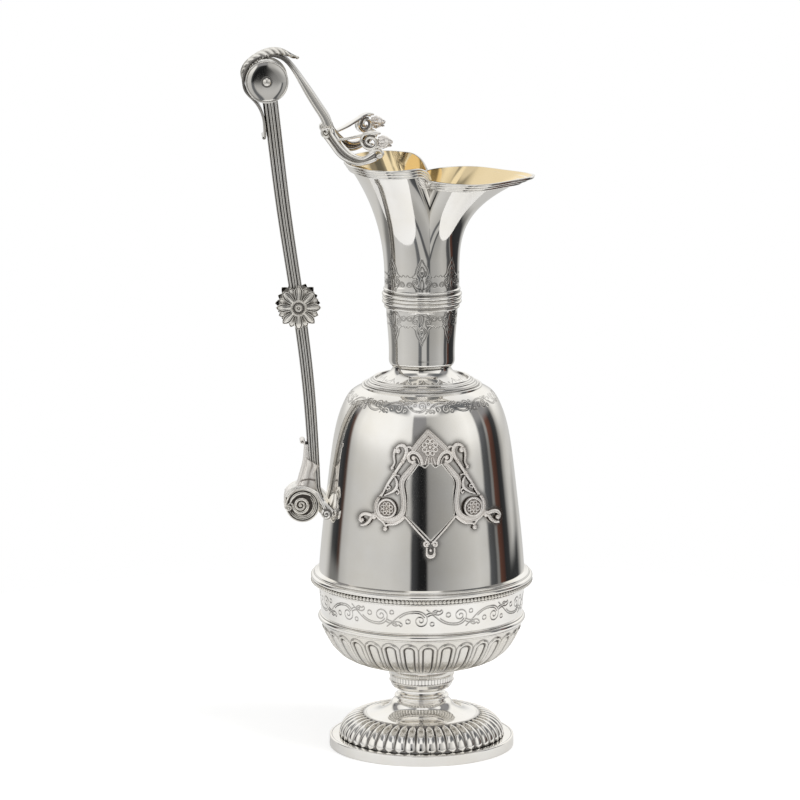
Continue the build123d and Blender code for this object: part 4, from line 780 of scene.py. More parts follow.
def lipShell(grow, levels):
    # grid of the lip: rows go up from the root, and each column ends at its own rim height
    s = lip
    span = s["rim"] - s["flareZ"]
    fine = np.linspace(0, 1, 90)
    plans = np.array([lipPlan(level, grow) for level in fine])
    count = plans.shape[1]
    grid = np.zeros((len(levels), count, 3))
    rimLevel = np.ones(count)
    for _ in range(12):
        x = np.array([np.interp(rimLevel[i], fine, plans[:, i, 0]) for i in range(count)])
        rimLevel = 0.5 * rimLevel + 0.5 * (rimHeight(x) - s["flareZ"]) / span
    for i in range(count):
        at = np.clip(levels, 0, None) * rimLevel[i]
        grid[:, i, 0] = np.interp(at, fine, plans[:, i, 0])
        grid[:, i, 1] = np.interp(at, fine, plans[:, i, 1])
        grid[:, i, 2] = np.where(levels < 0, s["rootZ"] + (levels + 1) * (s["flareZ"] - s["rootZ"]),
                                 s["flareZ"] + at * span)
    return grid


def lipOuter():
    # outside of the lip, with scrolls cut round its root, and how deep they are cut
    levels = np.concatenate(([-1.0, -0.5], np.linspace(0, 0.30, 74), np.linspace(0.31, 1, 66)))
    grid = lipShell(0, levels)
    radius, pitch = 19.4, 2 * math.pi / neckCut["repeats"]
    turn = np.arctan2(grid[..., 1], grid[..., 0]) - math.radians(neckCut["middle"])
    turn = (turn + pitch / 2) % pitch - pitch / 2
    cut = cutDepth(turn * radius, grid[..., 2] - throat["ringHigh"] - 0.3, scrollPair(1), neckCut["width"])
    ahead = np.roll(grid, -1, axis=1) - np.roll(grid, 1, axis=1)
    normal = unit(np.cross(np.gradient(grid, axis=0), ahead))
    inwards = -np.sign((normal[..., :2] * grid[..., :2]).sum(axis=2).mean())
    return grid + (inwards * neckCut["depth"] * cut)[..., None] * normal, cut


outerGrid, outerCut = lipOuter()
innerGrid = lipShell(-lip["wall"], np.concatenate(([-1.0, -0.5], np.linspace(0, 1, 90))))
dress(piecesOf("lipOutside", [(outerGrid, outerCut, True)]), polished, "polished_silver", "lip")
dress(piecesOf("lipInside", [(innerGrid[:, ::-1], 0, True)]), gilded, "gilt_silver", "lip")
trunkPieces = [bodyPiece(), conePiece(), mouldingPiece(), neckPiece(), neckRing()]
print("body, neck and lip made")

# reeded wires under the rim


def rimWire(name, keep, drop, node):
    # round reeds side by side follow the rim on its outside, set into the edge of the lip
    reeds, levels = lip["reeds"], np.arange(80)
    base = lipShell(0, np.linspace(0, 1, len(levels)))
    rim = base[-1]
    count = len(rim)
    live = keep(rim[:, 0])
    start = int(np.argmax(live & ~np.roll(live, 1)))
    order = [(start + step) % count for step in range(int(live.sum()))]
    radius = drop / reeds / 2
    parts = []
    for reed in range(reeds):
        path = np.zeros((count, 3))
        for i in range(count):
            at = np.interp(rim[i, 2] - drop * (reed + 0.5) / reeds, base[:, i, 2], levels)
            path[i] = [np.interp(at, levels, base[:, i, axis]) for axis in range(3)]
        out = np.roll(path, -1, axis=0) - np.roll(path, 1, axis=0)
        out = unit(np.stack((out[:, 1], -out[:, 0]), axis=1))
        out *= np.sign((out * path[:, :2]).sum(axis=1).mean())
        path[:, :2] += out * (lip["wireProud"] - radius * 0.92)
        parts.append((tubeGrid(path[order], radius * 0.98, 12, 1.25), 0, True))
    return dress(piecesOf(name, parts, 60), polished, "polished_silver", node)


rimWire("lobeRimWire", lambda x: x < lip["pinchX"] + 0.2, 4.4, "lobe_rim_wire")
rimWire("spoutRimWire", lambda x: x > lip["pinchX"] - 0.6, 3.9, "spout_rim_wire")
print("rim wires made")

# handle

handle = {"footX": -56.0, "headX": -78.0, "toeZ": 131.6, "footZ": 137.8, "headZ": 340.4, "footWidth": 5.8,
          "headWidth": 7.9, "footDepth": 9.6, "headDepth": 12.0, "reeds": 4, "groove": 0.7,
          "bow": [(0.0, 1.0), (0.12, 2.4), (0.25, 3.4), (0.4, 3.3), (0.55, 2.2), (0.72, 1.0), (0.87, 0.7),
                  (1.0, 0.5)]}


def shaftAt(z):
    # middle, width and depth of the shaft at a height
    h = handle
    share = (np.asarray(z, float) - h["footZ"]) / (h["headZ"] - h["footZ"])
    bowLine = smoothLine([(200 * at, off) for at, off in h["bow"]], 80)
    middle = h["footX"] + (h["headX"] - h["footX"]) * share + np.interp(share, bowLine[:, 0] / 200, bowLine[:, 1])
    width = h["footWidth"] + (h["headWidth"] - h["footWidth"]) * share
    depth = h["footDepth"] + (h["headDepth"] - h["footDepth"]) * share
    return middle, width, depth


def shaftPiece():
    h = handle
    levels = np.concatenate((np.linspace(h["toeZ"], h["footZ"] - 0.3, 8),
                             np.linspace(h["footZ"] + 0.3, h["headZ"] - 2.0, 110)))
    rows, dark = [], []
    for z in levels:
        middle, width, depth = shaftAt(z)
        toe = max(0.0, (h["footZ"] - z) / (h["footZ"] - h["toeZ"]))
        middle += 2.3 * toe ** 1.3
        width -= 2.6 * toe
        ring, deep = [], []
        first, pitch = -width / 2 + 0.65, (width - 1.3) / h["reeds"]
        valley = depth / 2 - h["groove"]
        for side in (-1, 1):
            for reed in range(h["reeds"])[::-side]:
                for t in (np.linspace(0, 1, 14)[:-1] if side < 0 else np.linspace(1, 0, 14)[:-1]):
                    bulge = math.sqrt(max(0.0, 1 - (2 * t - 1) ** 2))
                    ring.append((first + (reed + t) * pitch, side * (valley + h["groove"] * bulge)))
                    # tarnish deepened into painted shade: the valleys between the reeds go dark, reaching higher up
                    # alternate sides, as dark reflections between bright reeds
                    deep.append(min(1.0, max(0.0, ((0.96 if (reed + round(t)) % 2 else 0.80) - bulge) / 0.20)))
            # rounded front and back with a fine line down each side
            for t in np.linspace(0, 1, 13)[:-1]:
                turn = math.pi * (t - 0.5)
                ring.append(((width / 2 - 0.65 + 0.65 * math.cos(turn)) * -side, -side * valley * math.sin(turn)))
                deep.append(0.8 if abs(math.sin(turn)) > 0.8 else 0.35)
        rows.append([(middle + x, y, z) for x, y in ring])
        dark.append(deep)
    piece = piecesOf("handleShaft", [(np.array(rows), dark, True)])
    return dress(piece, aged, "oxidised_silver", "handle_shaft")


def turnedAcross(name, outline, centre, side, segments=96, relief=None):
    # lathe work about a line that runs along Y; the outline's height points away from the middle of the jug
    piece = turnedPiece(name, outline, segments, relief, 35)
    co = pointsOf(piece.data)
    moved = np.stack((centre[0] * mm + co[:, 0], side * co[:, 2], centre[1] * mm + co[:, 1] * -side), axis=1)
    piece.data.vertices.foreach_set("co", moved.ravel())
    piece.data.update()
    return piece


drum = {"x": -78.9, "z": 347.4, "radius": 10.2, "half": 7.7, "disc": 10.9, "thick": 1.3, "pin": 2.2}


def drumPieces():
    d = drum
    centre = (d["x"], d["z"])
    r, half = d["radius"], d["half"]
    hub = joinLines((1.1, -half), (r - 0.4, -half), (r, -half + 0.5), (r, -3), (r, 3), (r, half - 0.5),
                    (r - 0.4, half), (1.1, half))
    dress(turnedAcross("drum", hub, centre, 1), polished, "polished_silver", "drum")
    for name, side, node in (("drumDiscNear", -1, "drum_disc_near"), ("drumDiscFar", 1, "drum_disc_far")):
        low, high, edge = half, half + d["thick"], d["disc"]
        outline = joinLines(
            (1.1, low), (edge - 0.3, low), (edge, low + 0.3), (edge, high - 0.35),
            arcLine((edge - 0.32, high - 0.32), 0.32, 0, 150, 7), (edge - 0.75, high - 0.28),
            smoothLine([(edge - 0.95, high - 0.75), (8.4, high - 0.32), (5.6, high - 0.08), (2.9, high)], 24),
            (2.7, high), (2.3, high), (1.1, high))

        def relief(angle, line):
            ring = np.exp(-((line[:, 0] - (edge - 0.8)) / 0.14) ** 2) * (line[:, 1] > low + 0.5)
            seat = np.exp(-((line[:, 0] - 2.4) / 0.3) ** 2) * (line[:, 1] > low + 0.3)
            # painted reflection: a soft dark cross round the pin stands for the dark gap that the flat disc mirrors
            shade = np.exp(-(line[:, :1] / (4.6 + 0.9 * np.cos(angle * 2))) ** 4) * 0.22 * (line[:, 1:] > low + 0.5)
            return np.zeros((len(line), len(angle))), np.clip((ring * 0.8 + seat)[:, None] + shade, 0, 1)

        disc = turnedAcross(name, outline, centre, side, 128, relief)
        dress(disc, polished, "polished_silver", node)
    heads = []
    for side in (-1, 1):
        seat, pin = half + 0.55, d["pin"]
        crown = smoothLine([(pin, seat), (pin * 0.93, seat + 0.75), (pin * 0.5, seat + 1.35), (0.03, seat + 1.6)],
                           14, (0, 1), (-1, 0))
        outline = joinLines((1.1, 0.1), (1.1, seat), crown, (0.03, 0.1))
        heads.append(turnedAcross("pinHead", outline, centre, side, 40))
    dress(joinPieces("drumPin", heads), ornate, "oxidised_silver", "drum_pin")


def joinPieces(name, pieces):
    # several pieces become one
    work = bmesh.new()
    for piece in pieces:
        work.from_mesh(piece.data)
    mesh = bpy.data.meshes.new(name)
    work.to_mesh(mesh)
    work.free()
    for piece in pieces:
        bpy.data.objects.remove(piece)
    obj = bpy.data.objects.new(name, mesh)
    bpy.context.collection.objects.link(obj)
    return obj


def ribbonGrid(under, over, half, edge=0.45):
    # strip between two side-view lines, as wide as half to each side, with rounded edges
    cols = 14
    thick = np.linalg.norm(over - under, axis=1)
    out = unit(over - under)
    soft = np.minimum(edge, np.minimum(thick * 0.5, half * 0.45))
    straight = half - soft
    bends = [math.radians(turn) for turn in range(75, -76, -15)]
    ring = [(share * straight, thick) for share in np.linspace(-1, 1, cols)]
    ring += [(straight + soft * math.cos(t), thick / 2 * (1 + math.sin(t))) for t in bends]
    ring += [(share * straight, thick * 0) for share in np.linspace(1, -1, cols)]
    ring += [(-straight - soft * math.cos(t), thick / 2 * (1 + math.sin(t))) for t in bends[::-1]]
    sides = [(under + out * lift[:, None], y) for y, lift in ring]
    return np.stack([np.stack((side[:, 0], y, side[:, 1]), axis=1) for side, y in sides], axis=1)


strap = {"half": 8.0, "thick": 1.3}


def strapPiece():
    # flat strap: curled tail on the shaft, over the drum, and down to the fork, where it grows thick
    s = strap
    r = drum["disc"]
    t = s["thick"]
    under = smoothLine([(-79.3, 319.6), (-79.5, 325.6), (-81.2, 332.2), around(drum, 237, r + 0.1),
                        around(drum, 205, r + 0.2), around(drum, 175, r + 0.2), around(drum, 130, r + 0.8),
                        around(drum, 90, r + 1.5), around(drum, 55, r + 2.4), (-67.0, 353.9), (-64.4, 349.6),
                        (-61.6, 344.4), (-58.0, 338.0), (-54.7, 332.8), (-51.5, 327.4), (-49.6, 319.8)], 150)
    over = smoothLine([(-80.5, 319.6), (-80.8, 325.6), (-82.5, 332.2), around(drum, 237, r + 0.1 + t),
                       around(drum, 205, r + 0.2 + t), around(drum, 175, r + 0.2 + t), around(drum, 130, r + 0.8 + t),
                       around(drum, 90, r + 1.5 + t), around(drum, 58, r + 2.5 + 1.2 * t), (-65.2, 355.2),
                       (-62.2, 351.4), (-59.0, 346.9), (-54.4, 340.3), (-49.6, 332.9), (-46.3, 327.3),
                       (-44.8, 319.8)], 150)
    # painted shade: the strap goes dark over the drum, under the leaf, and fades out down the falling part
    shade = np.interp(np.linspace(0, 1, 150), [0, 0.12, 0.3, 0.42, 0.58, 0.66, 1], [0.3, 0.6, 1.0, 1.1, 1.1, 0.1, 0])
    parts = [(ribbonGrid(under, over, s["half"], 1.5), shade[:, None], True)]
    # beads along both edges of the falling part, on each side
    for side in (-1, 1):
        for line, inset in ((under, 0.75), (over, -0.75)):
            run = (line + unit(over - under) * inset)[92:]
            path = np.stack((run[:, 0], np.full(len(run), side * (s["half"] - 0.15)), run[:, 1]), axis=1)
            size = np.interp(np.arange(len(run)), [0, 12, len(run)], [0.15, 0.55, 0.85])
            parts.append((capped(tubeGrid(path, size, 8)), 0, True))
    curl = spiralLine((-80.5, 318.95), 1.25, 0.45, 40, -1.3, 26)
    curlUnder = spiralLine((-80.5, 318.95), 0.72, 0.05, 40, -1.3, 26)
    parts.append((ribbonGrid(curlUnder, curl, s["half"]), 0.2, True))
    return dress(piecesOf("handleStrap", parts), polished, "polished_silver", "handle_strap")


def outwardsOf(spine, piece):
    # direction away from the middle of a round piece, square to a line bent over it
    ahead = unit(np.gradient(spine, axis=0))
    up = np.stack((-ahead[:, 1], ahead[:, 0]), axis=1)
    return up * np.sign(((spine - (piece["x"], piece["z"])) * up).sum(axis=1))[:, None]


leaf = {"lobes": 11, "drop": 2.9}


def strapLeaf():
    # acanthus leaf over the drum: lobed edges that hang over the strap, a midrib, veins and a lifted tip
    f = leaf
    spine = smoothLine([(-91.0, 348.0), (-91.5, 351.6), (-90.2, 355.2), (-86.9, 358.7), (-82.6, 361.5),
                        (-78.0, 363.2), (-73.6, 363.5), (-69.4, 362.2), (-65.8, 360.0), (-63.3, 358.9)], 120)
    rows, cols = 120, 41
    s = np.linspace(0, 1, rows)
    up = outwardsOf(spine, drum)
    wide = np.interp(s, [0, 0.08, 0.3, 0.55, 0.75, 0.9, 1], [3.2, 5.6, 8.4, 8.8, 6.6, 3.6, 0.6])
    saw = (s * f["lobes"]) % 1
    lobed = 0.86 + 0.14 * np.sin(math.pi * np.clip(saw * 1.05, 0, 1)) ** 0.6
    share = np.linspace(-1, 1, cols)
    y = (wide * lobed)[:, None] * share
    aside = np.abs(share)
    vein = np.abs(((s[:, None] - 0.10 * aside) * f["lobes"]) % 1 - 0.5) * 2
    ridge = 0.55 * np.exp(-(share / 0.10) ** 2) + 0.45 * vein ** 2 * aside ** 0.6
    fall = f["drop"] * aside ** 2.2 * np.interp(s, [0, 0.15, 0.7, 1], [0.5, 1, 0.9, 0.2])[:, None]
    curlUp = 0.7 * np.exp(-((aside - 1) / 0.1) ** 2) * (saw[:, None] > 0.2)
    lift = ridge - fall + curlUp
    recessAndShade = np.clip((1 - vein) * 1.3 - 0.35, 0, 1) * np.clip(aside * 1.6, 0, 1)
    top = np.stack((spine[:, :1] + up[:, :1] * lift, y, spine[:, 1:] + up[:, 1:] * lift), axis=2)
    under = top - np.stack((up[:, 0], np.zeros(rows), up[:, 1]), axis=1)[:, None, :] * 0.7
    grid = np.concatenate((top, under[:, ::-1]), axis=1)
    deep = np.concatenate((recessAndShade, recessAndShade[:, ::-1]), axis=1)
    ball = ballGrid((-63.3, 0, 358.7), 0.95, 9, 12, (1.1, 1.2, 0.9))
    return dress(piecesOf("strapLeaf", [(grid, deep, True), (ball, 0, True)]), ornate, "oxidised_silver",
                 "strap_leaf")


rosette = {"x": -63.3, "z": 231.5, "radius": 11.5, "petals": 8}


def rosettePiece(name, side, node):
    # two ranks of eight petals with raised edges and midribs, round a ringed boss
    d = rosette
    parts = []

    def addGrid(across, up, away, deep, looped=False):
        parts.append((np.stack((d["x"] + across, side * away, d["z"] + up), axis=2), deep, looped))

    def addRound(outline, deep):
        turn = np.linspace(0, 2 * math.pi, 64, endpoint=False)
        addGrid(outline[:, :1] * np.cos(turn), outline[:, :1] * np.sin(turn), np.repeat(outline[:, 1:], 64, axis=1),
                deep, True)

    rows, cols = 34, 41
    s = np.linspace(0, 1, rows)[:, None]
    t = np.concatenate(([-1], np.linspace(-0.995, 0.995, cols - 2), [1]))[None, :]
    for rank, (reach, widest, level, start) in enumerate(((1.0, 2.45, 8.3, 0), (0.95, 2.3, 7.2, 22.5))):
        for petal in range(d["petals"]):
            turn = math.radians(360 / d["petals"] * petal + start + 90)
            inner, outer = 3.1, d["radius"] * reach
            radius = inner + (outer - inner) * s
            half = widest * (0.50 + 0.50 * np.clip(s / 0.6, 0, 1)) * (1 - np.clip((s - 0.55) / 0.45, 0, 1) ** 1.9)
            across = half * t
            # raised edge, dark groove inside it, and a leaf with a midrib within the groove
            inner = np.maximum(np.abs(t), np.clip((s - 0.78) / 0.14, 0, 2) * 0.68)
            edge = np.clip((inner - 0.72) / 0.08, 0, 1)
            rib = np.exp(-(t / 0.10) ** 2) * np.clip((0.85 - s) * 5, 0, 1)
            channel = np.exp(-((inner - 0.66) / 0.09) ** 2)
            dome = 0.22 * (1 - t ** 2) + 0.30 * np.sin(math.pi * s)
            away = level - 0.9 * s ** 2 + dome + 0.30 * edge + 0.18 * rib - 0.34 * channel - 1.2 * (np.abs(t) > 0.999)
            x = radius * math.cos(turn) - across * math.sin(turn)
            z = radius * math.sin(turn) + across * math.cos(turn)
            addGrid(x, z, away, np.clip(channel * 1.4 + (np.abs(t) > 0.999) + rank * (0.80 - s), 0, 1))
    boss = joinLines((9.6, 6.3), (9.0, 6.9), (4.6, 7.2), (4.25, 8.2), arcLine((3.75, 8.85), 0.5, 0, 160, 8),
                     (3.1, 8.5), (2.75, 8.45), (2.2, 8.3), (1.95, 8.35), arcLine((1.3, 8.75), 0.55, -20, 190, 12),
                     (0.7, 8.6), arcLine((0, 8.6), 0.5, 8, 88, 6))
    deep = np.exp(-((boss[:, 0] - 2.5) / 0.5) ** 4) + np.exp(-((boss[:, 0] - 0.68) / 0.12) ** 2)
    deep += (boss[:, 1] < 8.0) * 0.9
    addRound(boss, np.clip(deep, 0, 1)[:, None])
    addRound(np.array([(0.02, 6.0), (6.5, 6.0), (9.6, 6.3)]), 0.5)
    addRound(np.array([(6.2, 4.6), (6.2, 6.2)]), 0.8)
    return dress(piecesOf(name, parts), ornate, "oxidised_silver", node)


shaftPiece()
drumPieces()
strapPiece()
strapLeaf()
rosettePiece("rosetteNear", -1, "rosette_near")
rosettePiece("rosetteFar", 1, "rosette_far")
print("shaft, drum, strap, leaf and rosettes made")

# fork arms: two beads with a dark channel between, a root scroll, a big spiral and an upper bar

fork = {"thick": 3.2, "bead": 0.98}


def armPlan(x):
    # distance of the middle of an arm from the middle of the jug, at an x
    plan = smoothLine([(-55.0, 9.4), (-48.5, 11.0), (-45.4, 13.7), (-43.2, 15.9), (-40.1, 19.2), (-37.1, 22.6),
                       (-34.6, 25.9), (-32.5, 28.5), (-29.5, 31.8), (-27.3, 34.1), (-24.8, 35.7), (-20.0, 37.0),
                       (-16.0, 37.4)], 120)
    return np.interp(x, plan[:, 0], plan[:, 1])


def armBand(flat, side, radius, half):
    # bead along a side-view line laid on the arm's plan, reaching half to each side of it
    flat, step = evenLine(flat, 0.35), 0.2
    path = np.stack((flat[:, 0], side * armPlan(flat[:, 0]), flat[:, 1]), axis=1)
    slope = (armPlan(path[:, 0] + step) - armPlan(path[:, 0] - step)) / (2 * step)
    across = unit(np.stack((-slope, np.sign(path[:, 1]), np.zeros(len(path))), axis=1))
    over = unit(np.cross(unit(np.gradient(path, axis=0)), across))
    turn = np.linspace(0, 2 * math.pi, 16, endpoint=False)[None, :, None]
    level = np.sign(np.cos(turn)) * np.abs(np.cos(turn)) ** 0.55 * half
    rise = np.sin(turn) * stretched(radius, len(path))[:, None, None]
    return path[:, None, :] + across[:, None, :] * level + over[:, None, :] * rise


def forkArm(name, side, node):
    f = fork
    parts = []

    def band(flat, radius, half=f["thick"] / 2, dark=0.0):
        parts.append((capped(armBand(flat, side, radius, half)), dark, True))

    outer = smoothLine([(-49.6, 319.9), (-47.6, 317.6), (-45.0, 314.3), (-42.7, 311.5), (-39.9, 309.5),
                        (-37.1, 308.5), (-34.6, 308.1), (-32.4, 308.3), (-29.4, 309.3), (-27.2, 310.3),
                        (-25.0, 311.6)], 90)
    inner = smoothLine([(-46.3, 323.6), (-45.6, 321.4), (-44.3, 319.4), (-42.3, 316.8), (-40.3, 314.7),
                        (-38.4, 313.0), (-36.2, 311.7), (-34.0, 311.1), (-31.9, 311.1), (-29.6, 312.0),
                        (-27.6, 313.6), (-25.6, 315.4)], 90)
    web = smoothLine([(-48.0, 321.8), (-46.6, 319.5), (-43.6, 315.6), (-41.3, 312.8), (-38.9, 311.0), (-36.6, 310.0),
                      (-34.3, 309.6), (-32.1, 309.7), (-29.4, 310.7), (-27.2, 312.0), (-25.4, 313.4)], 60)
    band(web, 1.5, 0.75, 1.0)
    band(web, 0.30, 1.05, 0.55)
    band(outer, f["bead"])
    band(inner, f["bead"])
    # root scroll, on the strap's corner
    scroll = spiralLine((-48.9, 322.1), 2.55, 0.55, -50, -1.25, 60)
    band(scroll, [0.8, 0.85, 0.85, 0.75, 0.6], 2.1)
    band(spiralLine((-48.9, 322.1), 1.4, 0.1, 0, 1.6, 40), 0.5, 1.0, 1.0)
    # link under the spiral, with its curled end
    band(smoothLine([(-27.6, 314.9), (-25.4, 316.1), (-23.2, 316.3), (-21.9, 315.2), (-21.8, 313.6), (-23.0, 312.6),
                     (-24.2, 313.2)], 40), [0.72, 0.75, 0.7, 0.6, 0.62])
    band(spiralLine((-23.6, 313.2), 0.75, 0.1, 0, 1.0, 16), 0.55)
    # big spiral, in one sweep with the upper bar
    coil = spiralLine((-27.4, 320.0), 4.9, 1.0, 62, 1.62, 90)
    bar = smoothLine([(-42.8, 318.9), (-38.0, 320.3), (-34.0, 321.9), (-30.6, 323.3), (-27.9, 324.5), (-25.6, 325.0),
                      (-23.4, 324.7)], 50)
    band(coil, [0.85, 0.85, 0.85, 0.8, 0.75, 0.7])
    band(bar, [0.66, 0.72, 0.78, 0.85, 0.85, 0.6])
    band(spiralLine((-27.4, 320.0), 3.4, 1.3, 62, 1.3, 50), 0.35, 0.7, 1.0)
    # small stop against the lion's mane
    band([(-24.6, 317.6), (-23.2, 318.6), (-22.2, 320.6), (-22.3, 322.8)], 0.6)
    return dress(piecesOf(name, parts), polished, "polished_silver", node)


lion = {"x": -20.6, "z": 320.5, "away": 37.1, "voxel": 0.24, "size": 1.12}


def lionHead(name, side, node):
    # small cast head: brow, muzzle, nose, open jaw, ears and tufts of mane, melted into one form
    d = lion
    base = np.array((d["x"], side * d["away"], d["z"]))
    parts = []

    def lump(at, radius, squash=(1, 1, 1), rows=9, cols=14):
        ball = ballGrid(base + d["size"] * np.array(at, float), radius * d["size"], rows, cols, squash)
        parts.append((ball, None, True))

    lump((-0.3, 0, 0), 2.75, (1, 0.95, 1.0))
    lump((1.3, 0, 0.1), 1.75, (1.1, 0.95, 0.85))
    lump((2.35, 0, -0.15), 1.15, (1.0, 1.0, 0.75))
    lump((3.15, 0, 0.35), 0.5, (0.8, 1.3, 0.7))
    lump((2.0, 0, -1.75), 0.95, (1.15, 0.9, 0.55))
    for ear in (-1, 1):
        lump((1.25, ear * 0.95, 1.35), 0.55, (1.2, 1, 0.7))
        lump((2.35, ear * 0.62, -0.45), 0.62, (1, 1, 0.8))
        lump((-0.5, ear * 2.0, 2.0), 0.72, (0.6, 0.8, 1.1))
    for turn in np.radians(np.linspace(20, 340, 11)):
        lump((-0.9, 2.55 * math.sin(turn), 2.5 * math.cos(turn)), 0.78, (1.3, 0.8, 0.8), 7, 10)
    for turn in np.radians(np.linspace(36, 324, 9)):
        lump((-2.1, 2.2 * math.sin(turn), 2.2 * math.cos(turn)), 0.85, (1.4, 0.8, 0.8), 7, 10)
    rough = piecesOf(name + "Rough", parts)
    melt = rough.modifiers.new("melt", "REMESH")
    melt.mode = "VOXEL"
    melt.voxel_size = d["voxel"] * mm
    soften = rough.modifiers.new("soften", "SMOOTH")
    soften.iterations = 2
    soften.factor = 0.5
    shaped = bpy.data.meshes.new_from_object(rough.evaluated_get(bpy.context.evaluated_depsgraph_get()))
    bpy.data.objects.remove(rough)
    # cut lines: mouth, eyes and the partings of the mane
    x, y, z = ((pointsOf(shaped) / mm - base) / d["size"]).T
    mouth = np.exp(-((z + 1.15 + 0.12 * x) / 0.22) ** 2) * (x > 1.0)
    eyes = np.exp(-(((np.abs(y) - 0.85) / 0.3) ** 2 + ((z - 0.75) / 0.25) ** 2)) * (x > 1.2)
    parting = np.clip(np.cos(np.arctan2(y, z) * 11), 0, 1) ** 6 * (x < -0.2) * 0.8
    layer = shaped.attributes.new("recessAndShade", "FLOAT", "POINT")
    layer.data.foreach_set("value", np.clip(mouth + eyes + parting, 0, 1))
    shaped.shade_smooth()
    head = bpy.data.objects.new(name, shaped)
    bpy.context.collection.objects.link(head)
    return dress(head, cast, "polished_silver", node)


# foot of the handle: volute, its bracket with a roll against the body, leaf sleeve and back strip

volute = {"x": -61.6, "z": 128.4, "radius": 8.7, "half": 7.0, "coil": (-62.5, 128.5)}


def volutePiece():
    # barrel with a groove at each end and scrollwork on both faces
    v = volute
    r, half = v["radius"], v["half"]
    barrel = [(0.02, half - 0.8), (r - 1.1, half - 0.8), (r - 0.9, half - 0.2), (r - 0.4, half), (r, half - 0.3),
              (r, 3.0)]
    barrel = [(out, -y) for out, y in barrel] + barrel[::-1]
    out, y = np.array(barrel).T[:, :, None]
    turn = np.linspace(0, 2 * math.pi, 90, endpoint=False)
    grid = np.stack((v["x"] + out * np.cos(turn), y + 0 * turn, v["z"] + out * np.sin(turn)), axis=2)
    parts = [(grid, out < r - 0.5, True)]

    def bead(line, side, level, radius, lift=1.0, sides=10):
        # round wire laid on a side face
        flat = evenLine(line, 0.3)
        path = np.stack((flat[:, 0], np.full(len(flat), side * level), flat[:, 1]), axis=1)
        parts.append((capped(tubeGrid(path, stretched(radius, len(path)), sides, lift, (0, side, 0))), 0, True))

    for side in (-1, 1):
        bead(spiralLine(v["coil"], 4.55, 1.15, 180, 1.85, 90), side, 6.35, [0.3, 0.82, 0.85, 0.8, 0.66, 0.5], 0.8)
        bead(spiralLine(v["coil"], 1.0, 0.1, 120, 0.8, 20), side, 6.45, 0.5)
        bead(smoothLine([(-68.8, 128.9), (-67.9, 129.6), (-66.9, 128.9), (-66.4, 127.4), (-65.0, 125.4),
                         (-62.8, 124.2), (-60.4, 124.5)], 40), side, 6.4, [0.4, 0.7, 0.8, 0.7, 0.2], 0.9)
        bead(spiralLine((-68.6, 127.4), 1.65, 0.3, 100, 1.5, 40), side, 7.1, [0.42, 0.42, 0.36], 0.9)
        for size, start, stop in ((5.55, 222, 405), (6.4, 212, 415), (7.25, 200, 425)):
            bead(arcLine((v["x"], v["z"]), size, start, stop, 60), side, 6.3, [0.1, *[0.36] * 5, 0.1], 1.0, 8)
        bead(arcLine((v["x"], v["z"]), 6.5, 45, 168, 50), side, 6.2, [0.2, 0.85, 0.95, 0.9, 0.5], 0.75)
    return dress(piecesOf("voluteDrum", parts), ornate, "oxidised_silver", "volute_drum")


